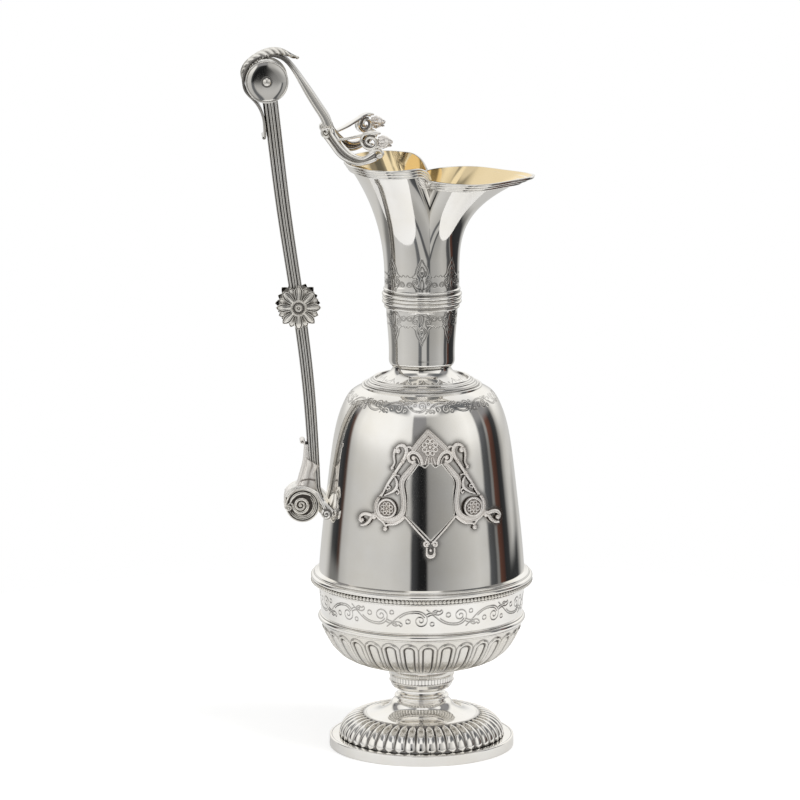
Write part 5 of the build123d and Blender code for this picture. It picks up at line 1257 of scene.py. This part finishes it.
def bracketPiece():
    # cover over the volute, reeded down its edges, widening to the roll that embraces the body
    body, high = 50.3, np.array((0, 0, 1.0))
    spine = smoothLine([around(volute, 148, 9.45), around(volute, 120, 9.5), around(volute, 92, 9.5),
                        around(volute, 66, 9.5), around(volute, 46, 9.7), (-53.4, 133.6), (-51.6, 130.6),
                        (-50.4, 127.8)], 80)
    s = np.linspace(0, 1, 80)
    half = np.interp(s, [0, 0.45, 0.65, 0.8, 1], [7.6, 8.0, 10.5, 15.0, 18.6])
    out = outwardsOf(spine, volute)
    thin = np.interp(s, [0, 0.7, 1], [0.72, 0.72, 0.5])[:, None]
    share = np.linspace(-1, 1, 31)
    y = half[:, None] * share
    # towards the roll the cover takes on the curve of the body
    hug = np.clip((s - 0.5) / 0.5, 0, 1)[:, None] ** 1.5 * (body - np.sqrt(np.clip(body ** 2 - y ** 2, 1, None)))
    reed = 0.28 * np.abs(np.cos(share * math.pi * 3)) * np.clip((np.abs(share) > 0.6) + 0.15, 0, 1)
    top, under = [np.stack((spine[:, :1] + out[:, :1] * lift + hug, y, spine[:, 1:] + out[:, 1:] * lift), axis=2)
                  for lift in (thin + reed, np.repeat(-thin, 31, axis=1))]
    line = np.exp(-((np.abs(share) - 0.78) / 0.05) ** 2) * 0.8
    parts = [(np.concatenate((top, under[:, ::-1]), axis=1), np.concatenate((line, np.full(31, 0.3))), True)]
    # bright double edge on each side face of the cover
    for side in (-1, 1):
        for level in (0.95, -0.35):
            flat = spine[:76] + out[:76] * level * 0.62
            path = np.stack((flat[:, 0], side * (half[:76] - 0.1), flat[:, 1]), axis=1)
            size = np.interp(np.arange(76), [0, 50, 75], [0.44, 0.44, 0.34])
            parts.append((capped(tubeGrid(path, size, 8)), 0, True))
    # roll: reeded wire bent round the body, with a spiral on each end
    turn = np.radians(np.linspace(-21.6, 21.6, 48))
    for inner, lift, size in ((0.0, 0.0, 1.75), (-1.0, -1.15, 1.15), (1.35, 0.95, 1.1), (-0.9, 1.25, 1.1)):
        reach = body + 1.65 - inner * 0.8
        path = np.stack((-reach * np.cos(turn), reach * np.sin(turn), np.full(48, 126.7 + lift)), axis=1)
        parts.append((capped(tubeGrid(path, size, 12)), 0, True))
    for side in (-1, 1):
        angle, face = math.radians(20.5), math.radians(-12)
        centre = np.array((-52.3 * math.cos(angle) - 0.9, side * (52.3 * math.sin(angle) + 2.3), 126.7))
        outwards = np.array((math.sin(face), side * math.cos(face), 0))
        level = np.array((-math.cos(face), side * math.sin(face), 0))
        flat = spiralLine((0, 0), 2.5, 0.3, 60, -1.6, 60)
        path = centre + outwards * 0.15 + flat[:, :1] * level + flat[:, 1:] * high
        parts.append((tubeGrid(path, np.linspace(0.66, 0.38, 60), 8, 1.0, outwards), 0, True))
        ring = [math.cos(t) * level + math.sin(t) * high for t in np.linspace(0, 2 * math.pi, 32, endpoint=False)]
        disc = centre + np.array([np.multiply(ring, r) for r in (0.02, 2.75)])
        parts.append((np.concatenate((disc, disc[1:] - outwards * 3.0)), np.array([[1.0], [1.0], [0.3]]), True))
    return dress(piecesOf("footBracket", parts), polished, "polished_silver", "foot_bracket")


def sleevePiece():
    # leaf wrapped round the foot of the shaft: jagged tips above, a rounded fold below
    parts = []
    # front and back edges, by height
    leftEdge = smoothLine([(134.8, -67.2), (138.0, -64.6), (141.1, -63.0), (144.5, -61.8), (148.3, -60.8),
                           (152.0, -60.2), (156.0, -60.1)], 60)
    rightEdge = smoothLine([(134.8, -54.0), (138.0, -54.0), (141.4, -53.9), (144.3, -54.3), (147.0, -53.2),
                            (149.5, -52.5), (151.0, -53.4), (156.0, -54.5)], 60)
    for lowZ, proud, tips in ((136.0, 0.0, True), (134.9, 0.8, False)):
        cols, rows = 72, 26
        turn = np.linspace(0, 2 * math.pi, cols, endpoint=False)
        c = np.sign(np.cos(turn)) * np.abs(np.cos(turn)) ** 0.6
        s = np.sign(np.sin(turn)) * np.abs(np.sin(turn)) ** 0.6
        if tips:
            # tips fall from the back to the front of the shaft, with notches between
            high = 150.5 - 2.5 * c + 0.6 * np.abs(np.sin(turn * 5))
        else:
            high = 139.8 + 1.5 * (1 - c ** 2)
        t = np.linspace(0, 1, rows)[:, None]
        z = lowZ + (high - lowZ) * t
        left = np.interp(z, leftEdge[:, 0], leftEdge[:, 1])
        right = np.interp(z, rightEdge[:, 0], rightEdge[:, 1])
        swell = 0.35 * np.exp(-((t - 1) / 0.12) ** 2) + proud * np.sin(math.pi * np.clip(t * 0.8 + 0.2, 0, 1))
        middle = (left + right) / 2
        x = middle + c * ((right - left) / 2 + swell * 0.5)
        y = s * (5.55 + swell * (0.55 if tips else 0.9))
        vein = np.exp(-((((turn * 5 / math.pi) % 1) - 0.5) / 0.07) ** 2) * np.clip(t * 1.4 - 0.1, 0, 1)
        y = y - np.sign(y) * 0.16 * vein
        sheet = np.stack((x, y, z), axis=2)
        inside = sheet[::-1] * (1, 0.88, 1)
        inside[..., 0] = (inside[..., 0] - middle[::-1]) * 0.86 + middle[::-1]
        # beside the cut veins, painted shade: a dark line just above the fold, a dark foot on each sheet, and a
        # darker inside
        fold = np.exp(-((z - 140.4 - 1.5 * (1 - c ** 2)) / 0.45) ** 2) if tips else 0
        deep = np.clip(vein * 0.7 + (t < 0.06) * 0.8 + fold, 0, 1)
        parts.append((np.concatenate((sheet, inside)), np.concatenate((deep, np.full((rows, cols), 0.5))), True))
    return dress(piecesOf("acanthusSleeve", parts), cast, "oxidised_silver", "acanthus_sleeve")


def backStrip():
    # thin strip up the back of the sleeve, from the curl beside the volute to the small knob
    inner = smoothLine([(-58.2, 159.8), (-57.9, 155.0), (-57.6, 150.0), (-58.8, 146.7), (-61.2, 142.4),
                        (-63.7, 138.6), around(volute, 130, 9.8), around(volute, 160, 8.8), around(volute, 184, 8.0)],
                       90)
    outer = smoothLine([(-60.3, 159.8), (-60.7, 155.0), (-61.2, 150.0), (-62.0, 146.6), (-63.3, 142.2),
                        (-65.2, 138.0), around(volute, 134, 10.7), around(volute, 160, 9.9),
                        around(volute, 184, 9.2)], 90)
    parts = [(ribbonGrid(inner, outer, 4.3, 0.4), 0, True)]
    for centre, size, start, turns, steps, half in (((-61.6, 161.0), 1.85, -60, 1.2, 30, 4.3),
                                                    (around(volute, 186, 7.8), 1.8, 120, 1.3, 40, 7.1)):
        curl = spiralLine(centre, size, 0.5, start, turns, steps)
        parts.append((ribbonGrid(spiralLine(centre, 1.15, 0.05, start, turns, steps), curl, half), 0, True))
    return dress(piecesOf("handleBackStrip", parts), cast, "oxidised_silver", "handle_back_strip")


forkArm("forkArmNear", -1, "fork_arm_near")
forkArm("forkArmFar", 1, "fork_arm_far")
lionHead("lionHeadNear", -1, "lion_head_near")
lionHead("lionHeadFar", 1, "lion_head_far")
volutePiece()
bracketPiece()
sleevePiece()
backStrip()
print("fork, lions and foot of the handle made")

# cartouche: bare plate, strapwork frame with scrolls, and two roundels

crest = {"turned": 1.6, "plate": 1.1, "frame": 1.8, "petals": 8, "roundelX": 22.1, "roundelZ": 135.0, "roundel": 5.05}
skinLine = trunkSide(0)


def onSkin(x, z, proud):
    # point of the body's front at a width and height, standing proud of it
    x, z, proud = np.broadcast_arrays(np.asarray(x, float), np.asarray(z, float), np.asarray(proud, float))
    out = np.clip(np.abs(x) - 22, 0, None)
    z = z + 0.035 * np.clip(z - 150, 0, None) - 0.10 * out
    x = x + 0.07 * out * (x < 0) + crest["turned"]
    reach = np.interp(z, skinLine[:, 1], skinLine[:, 0]) + proud
    return np.stack((x, -np.sqrt(np.clip(reach ** 2 - x ** 2, 0, None)), z), axis=-1)


beadShape = [(-1.0, -0.3, 1.0), (-1.0, 0.25, 1.0), (-0.92, 0.52, 0.5), (-0.72, 0.8, 0), (-0.4, 0.96, 0), (0, 1.0, 0),
             (0.4, 0.96, 0), (0.72, 0.8, 0), (0.92, 0.52, 0.5), (1.0, 0.25, 1.0), (1.0, -0.3, 1.0)]
bandShape = [(-1.0, -0.3, 1.0), (-1.0, 0.35, 0.9), (-0.97, 0.8, 0.2), (-0.88, 1.0, 0), (-0.70, 1.0, 0),
             (-0.62, 0.82, 0.35), (-0.50, 0.74, 0.15), (0, 0.86, 0.05), (0.50, 0.74, 0.15), (0.62, 0.82, 0.35),
             (0.70, 1.0, 0), (0.88, 1.0, 0), (0.97, 0.8, 0.2), (1.0, 0.35, 0.9), (1.0, -0.3, 1.0)]


def skinBand(flat, width, high, shape=beadShape, spacing=0.3):
    # moulding laid on the body along a flat line, with its section's darkness and closed ends
    flat = evenLine(flat, spacing)
    count = len(flat)
    ahead = unit(np.gradient(flat, axis=0))
    across, lift, dark = np.array(shape).T
    wide = across * stretched(width, count)[:, None]
    x = flat[:, :1] - ahead[:, 1:] * wide
    z = flat[:, 1:] + ahead[:, :1] * wide
    proud = lift * stretched(high, count)[:, None]
    first = onSkin(x[:1], z[:1], np.minimum(proud[:1], -0.3))
    last = onSkin(x[-1:], z[-1:], np.minimum(proud[-1:], -0.3))
    return np.concatenate((first, onSkin(x, z, proud), last)), dark, False


def skinBall(x, z, radius, high):
    # half bead on the body, dark round its seat
    rise = np.linspace(0.02, math.pi / 2, 9)[::-1, None]
    turn = np.linspace(0, 2 * math.pi, 18, endpoint=False)
    ring = radius * np.cos(rise)
    grid = onSkin(x + ring * np.cos(turn), z + ring * np.sin(turn), high * np.sin(rise))
    return grid, (rise < 0.45) * 0.8, True


def plateHalf(z):
    side = smoothLine([(131.9, 12.3), (134.5, 11.9), (137.5, 11.6), (141.5, 11.5), (144.5, 11.9), (147.0, 12.2),
                       (149.3, 11.8), (153.0, 9.3), (157.6, 5.8)], 80)
    return np.where(z < 131.9, 12.3 * (z - 119.1) / 12.8, np.interp(z, side[:, 0], side[:, 1]))


def platePiece():
    # bare shield with a raised fillet round it
    c = crest
    rows, cols = 90, 61
    share = np.linspace(-1, 1, cols)
    crown = np.interp(np.abs(share), [0, 0.12, 0.36, 0.62, 1.0], [158.2, 157.6, 155.7, 156.6, 157.4])
    z = 119.15 + (crown - 119.15) * np.linspace(0, 1, rows)[:, None]
    x = share * plateHalf(z)
    parts = [(onSkin(x, z, c["plate"]), 0.16, False)]
    rim = joinLines(np.stack((-plateHalf(z[::-1, 0]), z[::-1, 0]), axis=1),
                    np.stack((plateHalf(z[:, -1]), z[:, -1]), axis=1))
    top = np.stack((x[-1, ::-1], z[-1, ::-1]), axis=1)
    for line, width in ((rim, 0.48), (top, 0.42)):
        parts.append(skinBand(line, width, c["plate"] + 0.5, np.array(beadShape) * (1, 1, 0.9), 0.4))
    return dress(piecesOf("cartouchePlate", parts), polished, "polished_silver", "cartouche_plate")


def flower(x, z, ring, petal, level):
    # ring-shaped petals round a bead
    found = []
    for step in range(crest["petals"]):
        turn = 2 * math.pi * (step + 0.5) / crest["petals"]
        centre = (x + ring * math.cos(turn), z + ring * math.sin(turn))
        found.append(skinBand(arcLine(centre, petal * 0.72, 0, 360, 17), petal * 0.34, level, beadShape, 0.2))
        found.append(skinBall(centre[0], centre[1], petal * 0.3, level * 0.82))
    found.append(skinBall(x, z, ring * 0.36, level * 1.1))
    found.append(skinBand(arcLine((x, z), ring * 0.5, 0, 360, 25), ring * 0.1, level * 0.9, beadShape, 0.2))
    return found


def framePiece():
    c = crest
    high = c["frame"]
    found = []

    def both(line, width, tall=high, shape=beadShape):
        for side in (1, -1):
            found.append(skinBand(np.multiply(line, (side, 1)), width, tall, shape))

    def balls(x, z, radius, tall=high * 1.2):
        for side in (1, -1):
            found.append(skinBall(x * side, z, radius, tall))

    # gable of two stepped bars, and the field behind its flower
    for side in (1, -1):
        found.append(skinBand([(-0.9 + side * 0.4, 173.2), (-0.5 - side * 4.3, 168.7), (-side * 8.8, 163.9)], 1.25,
                              high, bandShape))
        found.append(skinBand([(-0.9, 170.3), (-0.4 - side * 3.4, 167.0), (-side * 6.4, 164.0)], 0.36, 1.3))
    rows, cols = 24, 15
    z = np.repeat(np.linspace(157.2, 172.4, rows)[:, None], cols, axis=1)
    half = np.interp(z, [157.2, 160.0, 164.6, 172.4], [4.2, 5.4, 7.4, 0.6])
    found.append((onSkin(np.linspace(-1, 1, cols) * half, z, 0.8), 0.45, False))
    found.extend(flower(0, 165.6, 3.05, 1.4, 1.9))
    for x in (-1.0, 1.0):
        found.append(skinBand([(x * 0.45, 161.2), (x * 1.0, 156.9)], [0.25, 0.5], 1.45))
        found.append(skinBand([(x * 1.25, 161.2), (x * 2.7, 157.2)], [0.25, 0.55], 1.45))
    # inner scrolls beside the fan
    both(smoothLine([(-4.0, 157.0), (-4.5, 159.6), (-6.1, 162.2), (-8.8, 163.2), (-10.9, 161.5), (-10.6, 159.2),
                     (-8.9, 158.3), (-7.5, 159.0)], 60), [0.9, 0.95, 1.05, 0.95, 0.7])
    balls(-8.4, 160.4, 1.3)
    both(smoothLine([(-5.4, 157.3), (-6.2, 159.6), (-7.4, 161.0)], 16), [0.35, 0.3], 1.2)
    # strap that borders the plate and cradles the roundel
    strapLine = smoothLine([(-7.3, 158.0), (-8.7, 156.5), (-11.3, 153.3), (-14.0, 149.6), (-14.3, 145.6),
                            (-13.6, 141.2), (-13.5, 136.3), (-14.4, 132.8), (-16.9, 130.1), (-20.2, 129.0),
                            (-23.6, 129.5), (-26.2, 131.4), (-27.6, 134.4), (-27.4, 137.8), (-25.9, 140.4)], 120)
    both(strapLine, [1.0, 1.35, 1.4, 1.3, 1.3, 1.3, 1.5, 1.6, 1.45, 1.25, 1.0, 0.75], high, bandShape)
    both([(-13.6, 131.2), (-12.3, 130.4), (-6.4, 123.7), (-0.5, 117.4)], [0.62, 0.6, 0.52, 0.5], 1.6)
    # foot of the cradle, with its curl
    both(smoothLine([(-13.4, 130.8), (-15.9, 128.5), (-19.2, 127.0), (-21.6, 126.6), (-22.6, 125.8)], 40),
         [0.9, 0.9, 0.75, 0.6])
    both(smoothLine([(-27.8, 131.2), (-25.6, 129.4), (-23.9, 128.0), (-22.6, 126.0)], 24), [0.55, 0.65, 0.6])
    balls(-22.8, 124.6, 1.35)
    # outer hooks: slanting bars with clasps and slim uprights
    both(smoothLine([(-17.0, 164.8), (-15.5, 166.0), (-13.2, 166.0), (-11.9, 164.0), (-12.5, 161.0), (-15.0, 156.9),
                     (-18.1, 152.2), (-21.0, 147.7), (-23.2, 143.8), (-24.7, 141.0)], 90),
         [0.6, 1.05, 1.15, 1.0, 0.9, 0.85, 0.8, 0.7, 0.6])
    both(smoothLine([(-11.6, 165.4), (-9.8, 165.3), (-8.6, 163.8)], 14), [0.4, 0.7, 0.7], 1.3)
    balls(-16.2, 163.6, 1.6)
    both(smoothLine([(-17.3, 164.4), (-18.0, 162.4), (-18.1, 159.8), (-17.9, 157.6), (-18.8, 155.8)], 30),
         [0.85, 0.8, 0.65, 0.6], 1.6)
    balls(-19.1, 155.1, 1.0)
    for x, z in ((-13.9, 158.7), (-18.1, 152.2)):
        both(arcLine((x, z), 0.75, 0, 360, 21), 0.36, high * 1.25)
        both([(x - 0.85, z - 0.75), (x + 0.9, z + 0.55)], 0.42, high * 1.1)
    both([(-18.0, 152.1), (-15.9, 151.5)], [0.5, 0.35], 1.4)
    balls(-15.7, 151.5, 0.62, 1.6)
    # sprig with two curls under each bar
    both(smoothLine([(-18.0, 151.0), (-16.9, 148.6), (-16.9, 146.0), (-18.4, 143.9), (-20.8, 142.4), (-23.2, 141.3)],
                    50), [0.35, 0.85, 1.0, 0.8, 0.6, 0.45])
    both(spiralLine((-20.9, 145.4), 1.25, 0.4, 250, -1.1, 26), [0.5, 0.42, 0.35], 1.5)
    both(smoothLine([(-18.3, 144.3), (-17.2, 144.9), (-16.0, 144.2), (-15.8, 142.9), (-16.6, 142.2)], 20),
         [0.6, 0.5, 0.45])
    balls(-16.9, 142.8, 0.7)
    both(smoothLine([(-22.0, 146.4), (-23.4, 143.6), (-25.6, 141.0)], 18), [0.3, 0.4, 0.45], 1.4)
    # side arms, with a knot and a fish tail
    balls(-28.9, 130.9, 1.75, 2.3)
    both(arcLine((-28.9, 130.9), 1.15, 0, 360, 25), 0.3, 2.1)
    both(smoothLine([(-30.0, 131.3), (-32.2, 131.9), (-34.6, 131.7), (-36.0, 130.4), (-36.2, 128.9), (-35.2, 127.9)],
                    36), [1.0, 1.0, 0.95, 0.8, 0.6])
    balls(-34.9, 128.9, 1.15)
    both(smoothLine([(-30.2, 130.4), (-31.4, 128.4), (-33.4, 126.8), (-35.9, 126.2)], 26), [0.95, 0.95, 0.8, 0.45])
    both(smoothLine([(-28.4, 132.2), (-27.4, 133.4), (-27.3, 134.6)], 10), [0.6, 0.5], 1.4)
    # twin scrolls and drop ring at the point
    both(spiralLine((-2.1, 117.2), 1.55, 0.5, 40, 1.1, 26), [0.65, 0.55, 0.45])
    balls(-2.1, 117.2, 0.75, 1.9)
    found.append(skinBand(arcLine((0, 112.9), 1.95, 160, 380, 40), [0.45, 0.9, 1.15, 0.9, 0.45], 1.7))
    found.append(skinBall(0, 114.2, 0.95, 1.9))
    both([(-1.9, 115.6), (-2.0, 113.2)], [0.6, 0.5], 1.5)
    return dress(piecesOf("cartoucheFrame", found), cast, "oxidised_silver", "cartouche_frame")


def roundelPiece():
    # flat disc with a raised rim and a flower, on each side
    r, z = crest["roundel"], crest["roundelZ"]
    section = np.array([(r, -0.3, 1.0), (r, 1.2, 1.0), (r - 0.05, 2.1, 0.3), (r - 0.35, 2.6, 0), (r - 0.8, 2.7, 0),
                        (r - 1.15, 2.4, 0.4), (r - 1.3, 2.0, 0.8), (0.4, 1.8, 0.55)])
    ring, proud, dark = section.T[:, :, None]
    turn = np.linspace(0, 2 * math.pi, 72, endpoint=False)
    found = []
    for x in (-crest["roundelX"], crest["roundelX"]):
        found.append((onSkin(x + ring * np.cos(turn), z + ring * np.sin(turn), proud), dark, True))
        found.extend(flower(x, z, 2.4, 1.15, 2.8))
    return dress(piecesOf("cartoucheRoundels", found), cast, "oxidised_silver", "cartouche_roundels")


def tarnishAndShadeAround(target, sources, reach, most):
    # tarnish and painted shade gather on a surface close to the ornament that is fixed on it
    points = np.concatenate([pointsOf(piece.data)[::2] for piece in sources])
    tree = kdtree.KDTree(len(points))
    for index, point in enumerate(points):
        tree.insert(point, index)
    tree.balance()
    low = points.min(axis=0) - reach * 3 * mm
    high = points.max(axis=0) + reach * 3 * mm
    co = pointsOf(target.data)
    layer = target.data.attributes["recessAndShade"]
    marks = np.zeros(len(co))
    layer.data.foreach_get("value", marks)
    near = np.nonzero(((co > low) & (co < high)).all(axis=1))[0]
    for index in near:
        gap = tree.find(co[index])[2] / mm
        marks[index] = max(marks[index], most * math.exp(-(gap / reach) ** 1.5))
    layer.data.foreach_set("value", marks)


plateHere = platePiece()
frameHere = framePiece()
roundelsHere = roundelPiece()
tarnishAndShadeAround(trunkPieces[0], [frameHere, roundelsHere], 1.3, 0.95)
tarnishAndShadeAround(plateHere, [frameHere, roundelsHere], 0.35, 0.4)
print("cartouche made")

# studio: white floor, soft lamps, and a room that the metal mirrors

studio = {
    "floorRadius": 420,
    "floorColour": (0.74, 0.74, 0.74),
    "floorGlow": 0.41,
    "floorGlowUnseen": 0.06,
    "lensMm": 225,
    "cameraAt": (-143.0, -2515.3, 666.8),
    "cameraAim": (-9.40, 34.27, 175.14),
}


def makeFloor():
    s = studio
    rings = np.array([0.5, 20, 60, 120, 200, 300, 380, s["floorRadius"]], float)[:, None]
    turn = np.linspace(0, 2 * math.pi, 96, endpoint=False)
    grid = np.stack((rings * np.cos(turn), rings * np.sin(turn), np.full((len(rings), 96), -0.02)), axis=2)
    floor = piecesOf("floor", [(grid, 0, True)])
    floor.data.flip_normals()
    material = bpy.data.materials.new("whitePaper")
    tree = emptyTree(material)
    paper = addNode(tree, "ShaderNodeBsdfDiffuse", {0: (*s["floorColour"], 1)})
    glow = addNode(tree, "ShaderNodeEmission", {1: s["floorGlow"]})
    unseen = addNode(tree, "ShaderNodeEmission", {1: s["floorGlowUnseen"]})
    light = seenOnly(tree, glow.outputs[0], unseen.outputs[0])
    both = addNode(tree, "ShaderNodeAddShader", {0: paper.outputs[0], 1: light})
    addNode(tree, "ShaderNodeOutputMaterial", {0: both.outputs[0]})
    floor.data.materials.append(material)


# brightness of the room round the jug, by direction in degrees from the front, to the right
roomAround = [(-180, 1.0), (-142, 1.0), (-136, 0.8), (-128, 0.10), (-118, 0.05), (-112, (0.12, 0.07, 0.055)),
              (-108, 0.72), (-95, 0.92), (-72, 1.0), (-40, 0.98), (-17, 0.84), (-14.5, 0.10), (-8, 0.045), (-6, 0.02),
              (2, 0.02), (4.5, 0.42), (22, 0.58), (45, 0.80), (64, 0.98), (78, 0.90), (81, 0.15), (90, 0.10),
              (93, 0.34), (95, 0.30), (97, (0.16, 0.075, 0.055)), (104, (0.10, 0.05, 0.04)), (107, 0.04), (115, 0.06),
              (119, 0.45), (127, 0.9), (136, 1.0), (180, 1.0)]

# the same room below the table's height, where the gap between the soft boxes is narrower and paler
roomBelow = [(-180, 1.0), (-142, 1.0), (-136, 0.8), (-128, 0.35), (-118, 0.30), (-112, 0.35), (-108, 0.72),
             (-95, 0.92), (-72, 1.0), (-40, 0.88), (-17, 0.76), (-13, 0.24), (-5, 0.20), (-2, 0.80), (12, 0.78),
             (15, 0.16), (21, 0.16), (24, 0.56), (45, 0.64), (64, 0.80), (78, 0.72), (81, 0.15), (90, 0.10),
             (93, 0.34), (95, 0.30), (97, (0.16, 0.075, 0.055)), (104, (0.10, 0.05, 0.04)), (107, 0.04), (135, 0.06),
             (142, 0.45), (150, 0.9), (180, 1.0)]

# the same room above the soft boxes, where it is dim except straight ahead and behind
roomAbove = [(-180, 0.95), (-130, 0.85), (-100, 0.34), (-60, 0.22), (-30, 0.30), (-20, 0.95), (22, 0.95), (30, 0.34),
             (60, 0.16), (95, 0.14), (112, 0.34), (135, 0.85), (180, 0.95)]

# share of the full brightness by height in degrees
roomRise = [(-90, 0.70), (-30, 0.60), (-11, 0.64), (-5, 0.62), (-3, 0.60), (1, 0.66), (5, 0.78), (10, 0.93),
            (17, 1.0), (90, 1.0)]


def tinted(level):
    # grey of a brightness, a little cool when dark and a little warm when bright; a colour stays as it is
    if isinstance(level, tuple):
        return (*level, 1)
    return (level * 0.96, level, level * 1.06, 1) if level < 0.3 else (level, level * 0.997, level * 0.985, 1)


def makeWorld():
    world = bpy.data.worlds.new("room")
    bpy.context.scene.world = world
    tree = emptyTree(world)

    def work(operation, *values):
        return addNode(tree, "ShaderNodeMath", dict(enumerate(values)), operation=operation).outputs[0]

    def rampOf(source, stopsHere, place=lambda angle: (angle + 180) / 360):
        ramp = addNode(tree, "ShaderNodeValToRGB", {0: source})
        stops = ramp.color_ramp.elements
        stops.remove(stops[1])
        for order, (angle, level) in enumerate(stopsHere):
            stop = stops[0] if order == 0 else stops.new(place(angle))
            stop.position = place(angle)
            stop.color = tinted(level)
        return ramp.outputs[0]

    def blend(amount, first, second, kind="MIX"):
        return addNode(tree, "ShaderNodeMix", {0: amount, 6: first, 7: second}, data_type="RGBA",
                       blend_type=kind).outputs[2]

    def window(low, high):
        # from 0 to 1 between two heights in degrees
        ends = {"From Min": math.sin(math.radians(low)), "From Max": math.sin(math.radians(high))}
        return addNode(tree, "ShaderNodeMapRange", {"Value": up, **ends}, interpolation_type="SMOOTHSTEP").outputs[0]

    place = addNode(tree, "ShaderNodeTexCoord").outputs["Generated"]
    right, back, up = addNode(tree, "ShaderNodeSeparateXYZ", {0: place}).outputs
    turn = work("ARCTAN2", right, work("MULTIPLY", back, -1.0))
    share = work("MULTIPLY_ADD", turn, 1 / (2 * math.pi), 0.5)
    low = rampOf(share, roomAround)
    middle = rampOf(share, roomAbove)
    rise = rampOf(work("MULTIPLY_ADD", up, 0.5, 0.5), roomRise,
                  lambda angle: 0.5 + 0.5 * math.sin(math.radians(angle)))
    below = rampOf(share, roomBelow)
    ringed = blend(window(-9, -7), below, low)
    faded = blend(1.0, ringed, (0.27, 0.27, 0.28, 1), "LIGHTEN")
    walls = blend(1.0, blend(window(13, 22), ringed, faded), rise, "MULTIPLY")
    upper = blend(window(37, 44), walls, middle)
    whole = blend(window(62, 70), upper, (0.72, 0.72, 0.73, 1))
    room = addNode(tree, "ShaderNodeBackground", {0: whole, 1: 1.0})
    white = addNode(tree, "ShaderNodeBackground", {0: (1, 1, 1, 1), 1: 1.0})
    addNode(tree, "ShaderNodeOutputWorld", {0: seenOnly(tree, white.outputs[0], room.outputs[0])})


def makeLamp(name, at, aim, size, power, colour):
    lamp = bpy.data.lights.new(name, "AREA")
    lamp.shape = "RECTANGLE"
    lamp.size, lamp.size_y = [side * mm for side in size]
    lamp.energy = power
    lamp.color = colour
    obj = bpy.data.objects.new(name, lamp)
    bpy.context.collection.objects.link(obj)
    pointAt(obj, at, aim)
    obj.visible_glossy = False


def pointAt(obj, at, aim):
    obj.location = Vector(at) * mm
    obj.rotation_euler = (Vector(aim) - Vector(at)).to_track_quat("-Z", "Y").to_euler()


def makeCamera():
    s = studio
    lens = bpy.data.cameras.new("camera")
    lens.lens = s["lensMm"]
    lens.sensor_width = 36
    lens.clip_start = 0.05
    lens.clip_end = 50
    camera = bpy.data.objects.new("camera", lens)
    bpy.context.collection.objects.link(camera)
    pointAt(camera, s["cameraAt"], s["cameraAim"])
    bpy.context.scene.camera = camera


makeFloor()
makeWorld()
makeLamp("keyLamp", (900, -700, 1500), (0, 0, 120), (900, 900), 17, (1.0, 0.99, 0.97))
makeLamp("fillLamp", (-1100, -600, 900), (0, 0, 150), (900, 1200), 6, (0.98, 0.99, 1.0))
makeCamera()
bpy.context.scene.view_settings.view_transform = "Standard"
print("studio set")
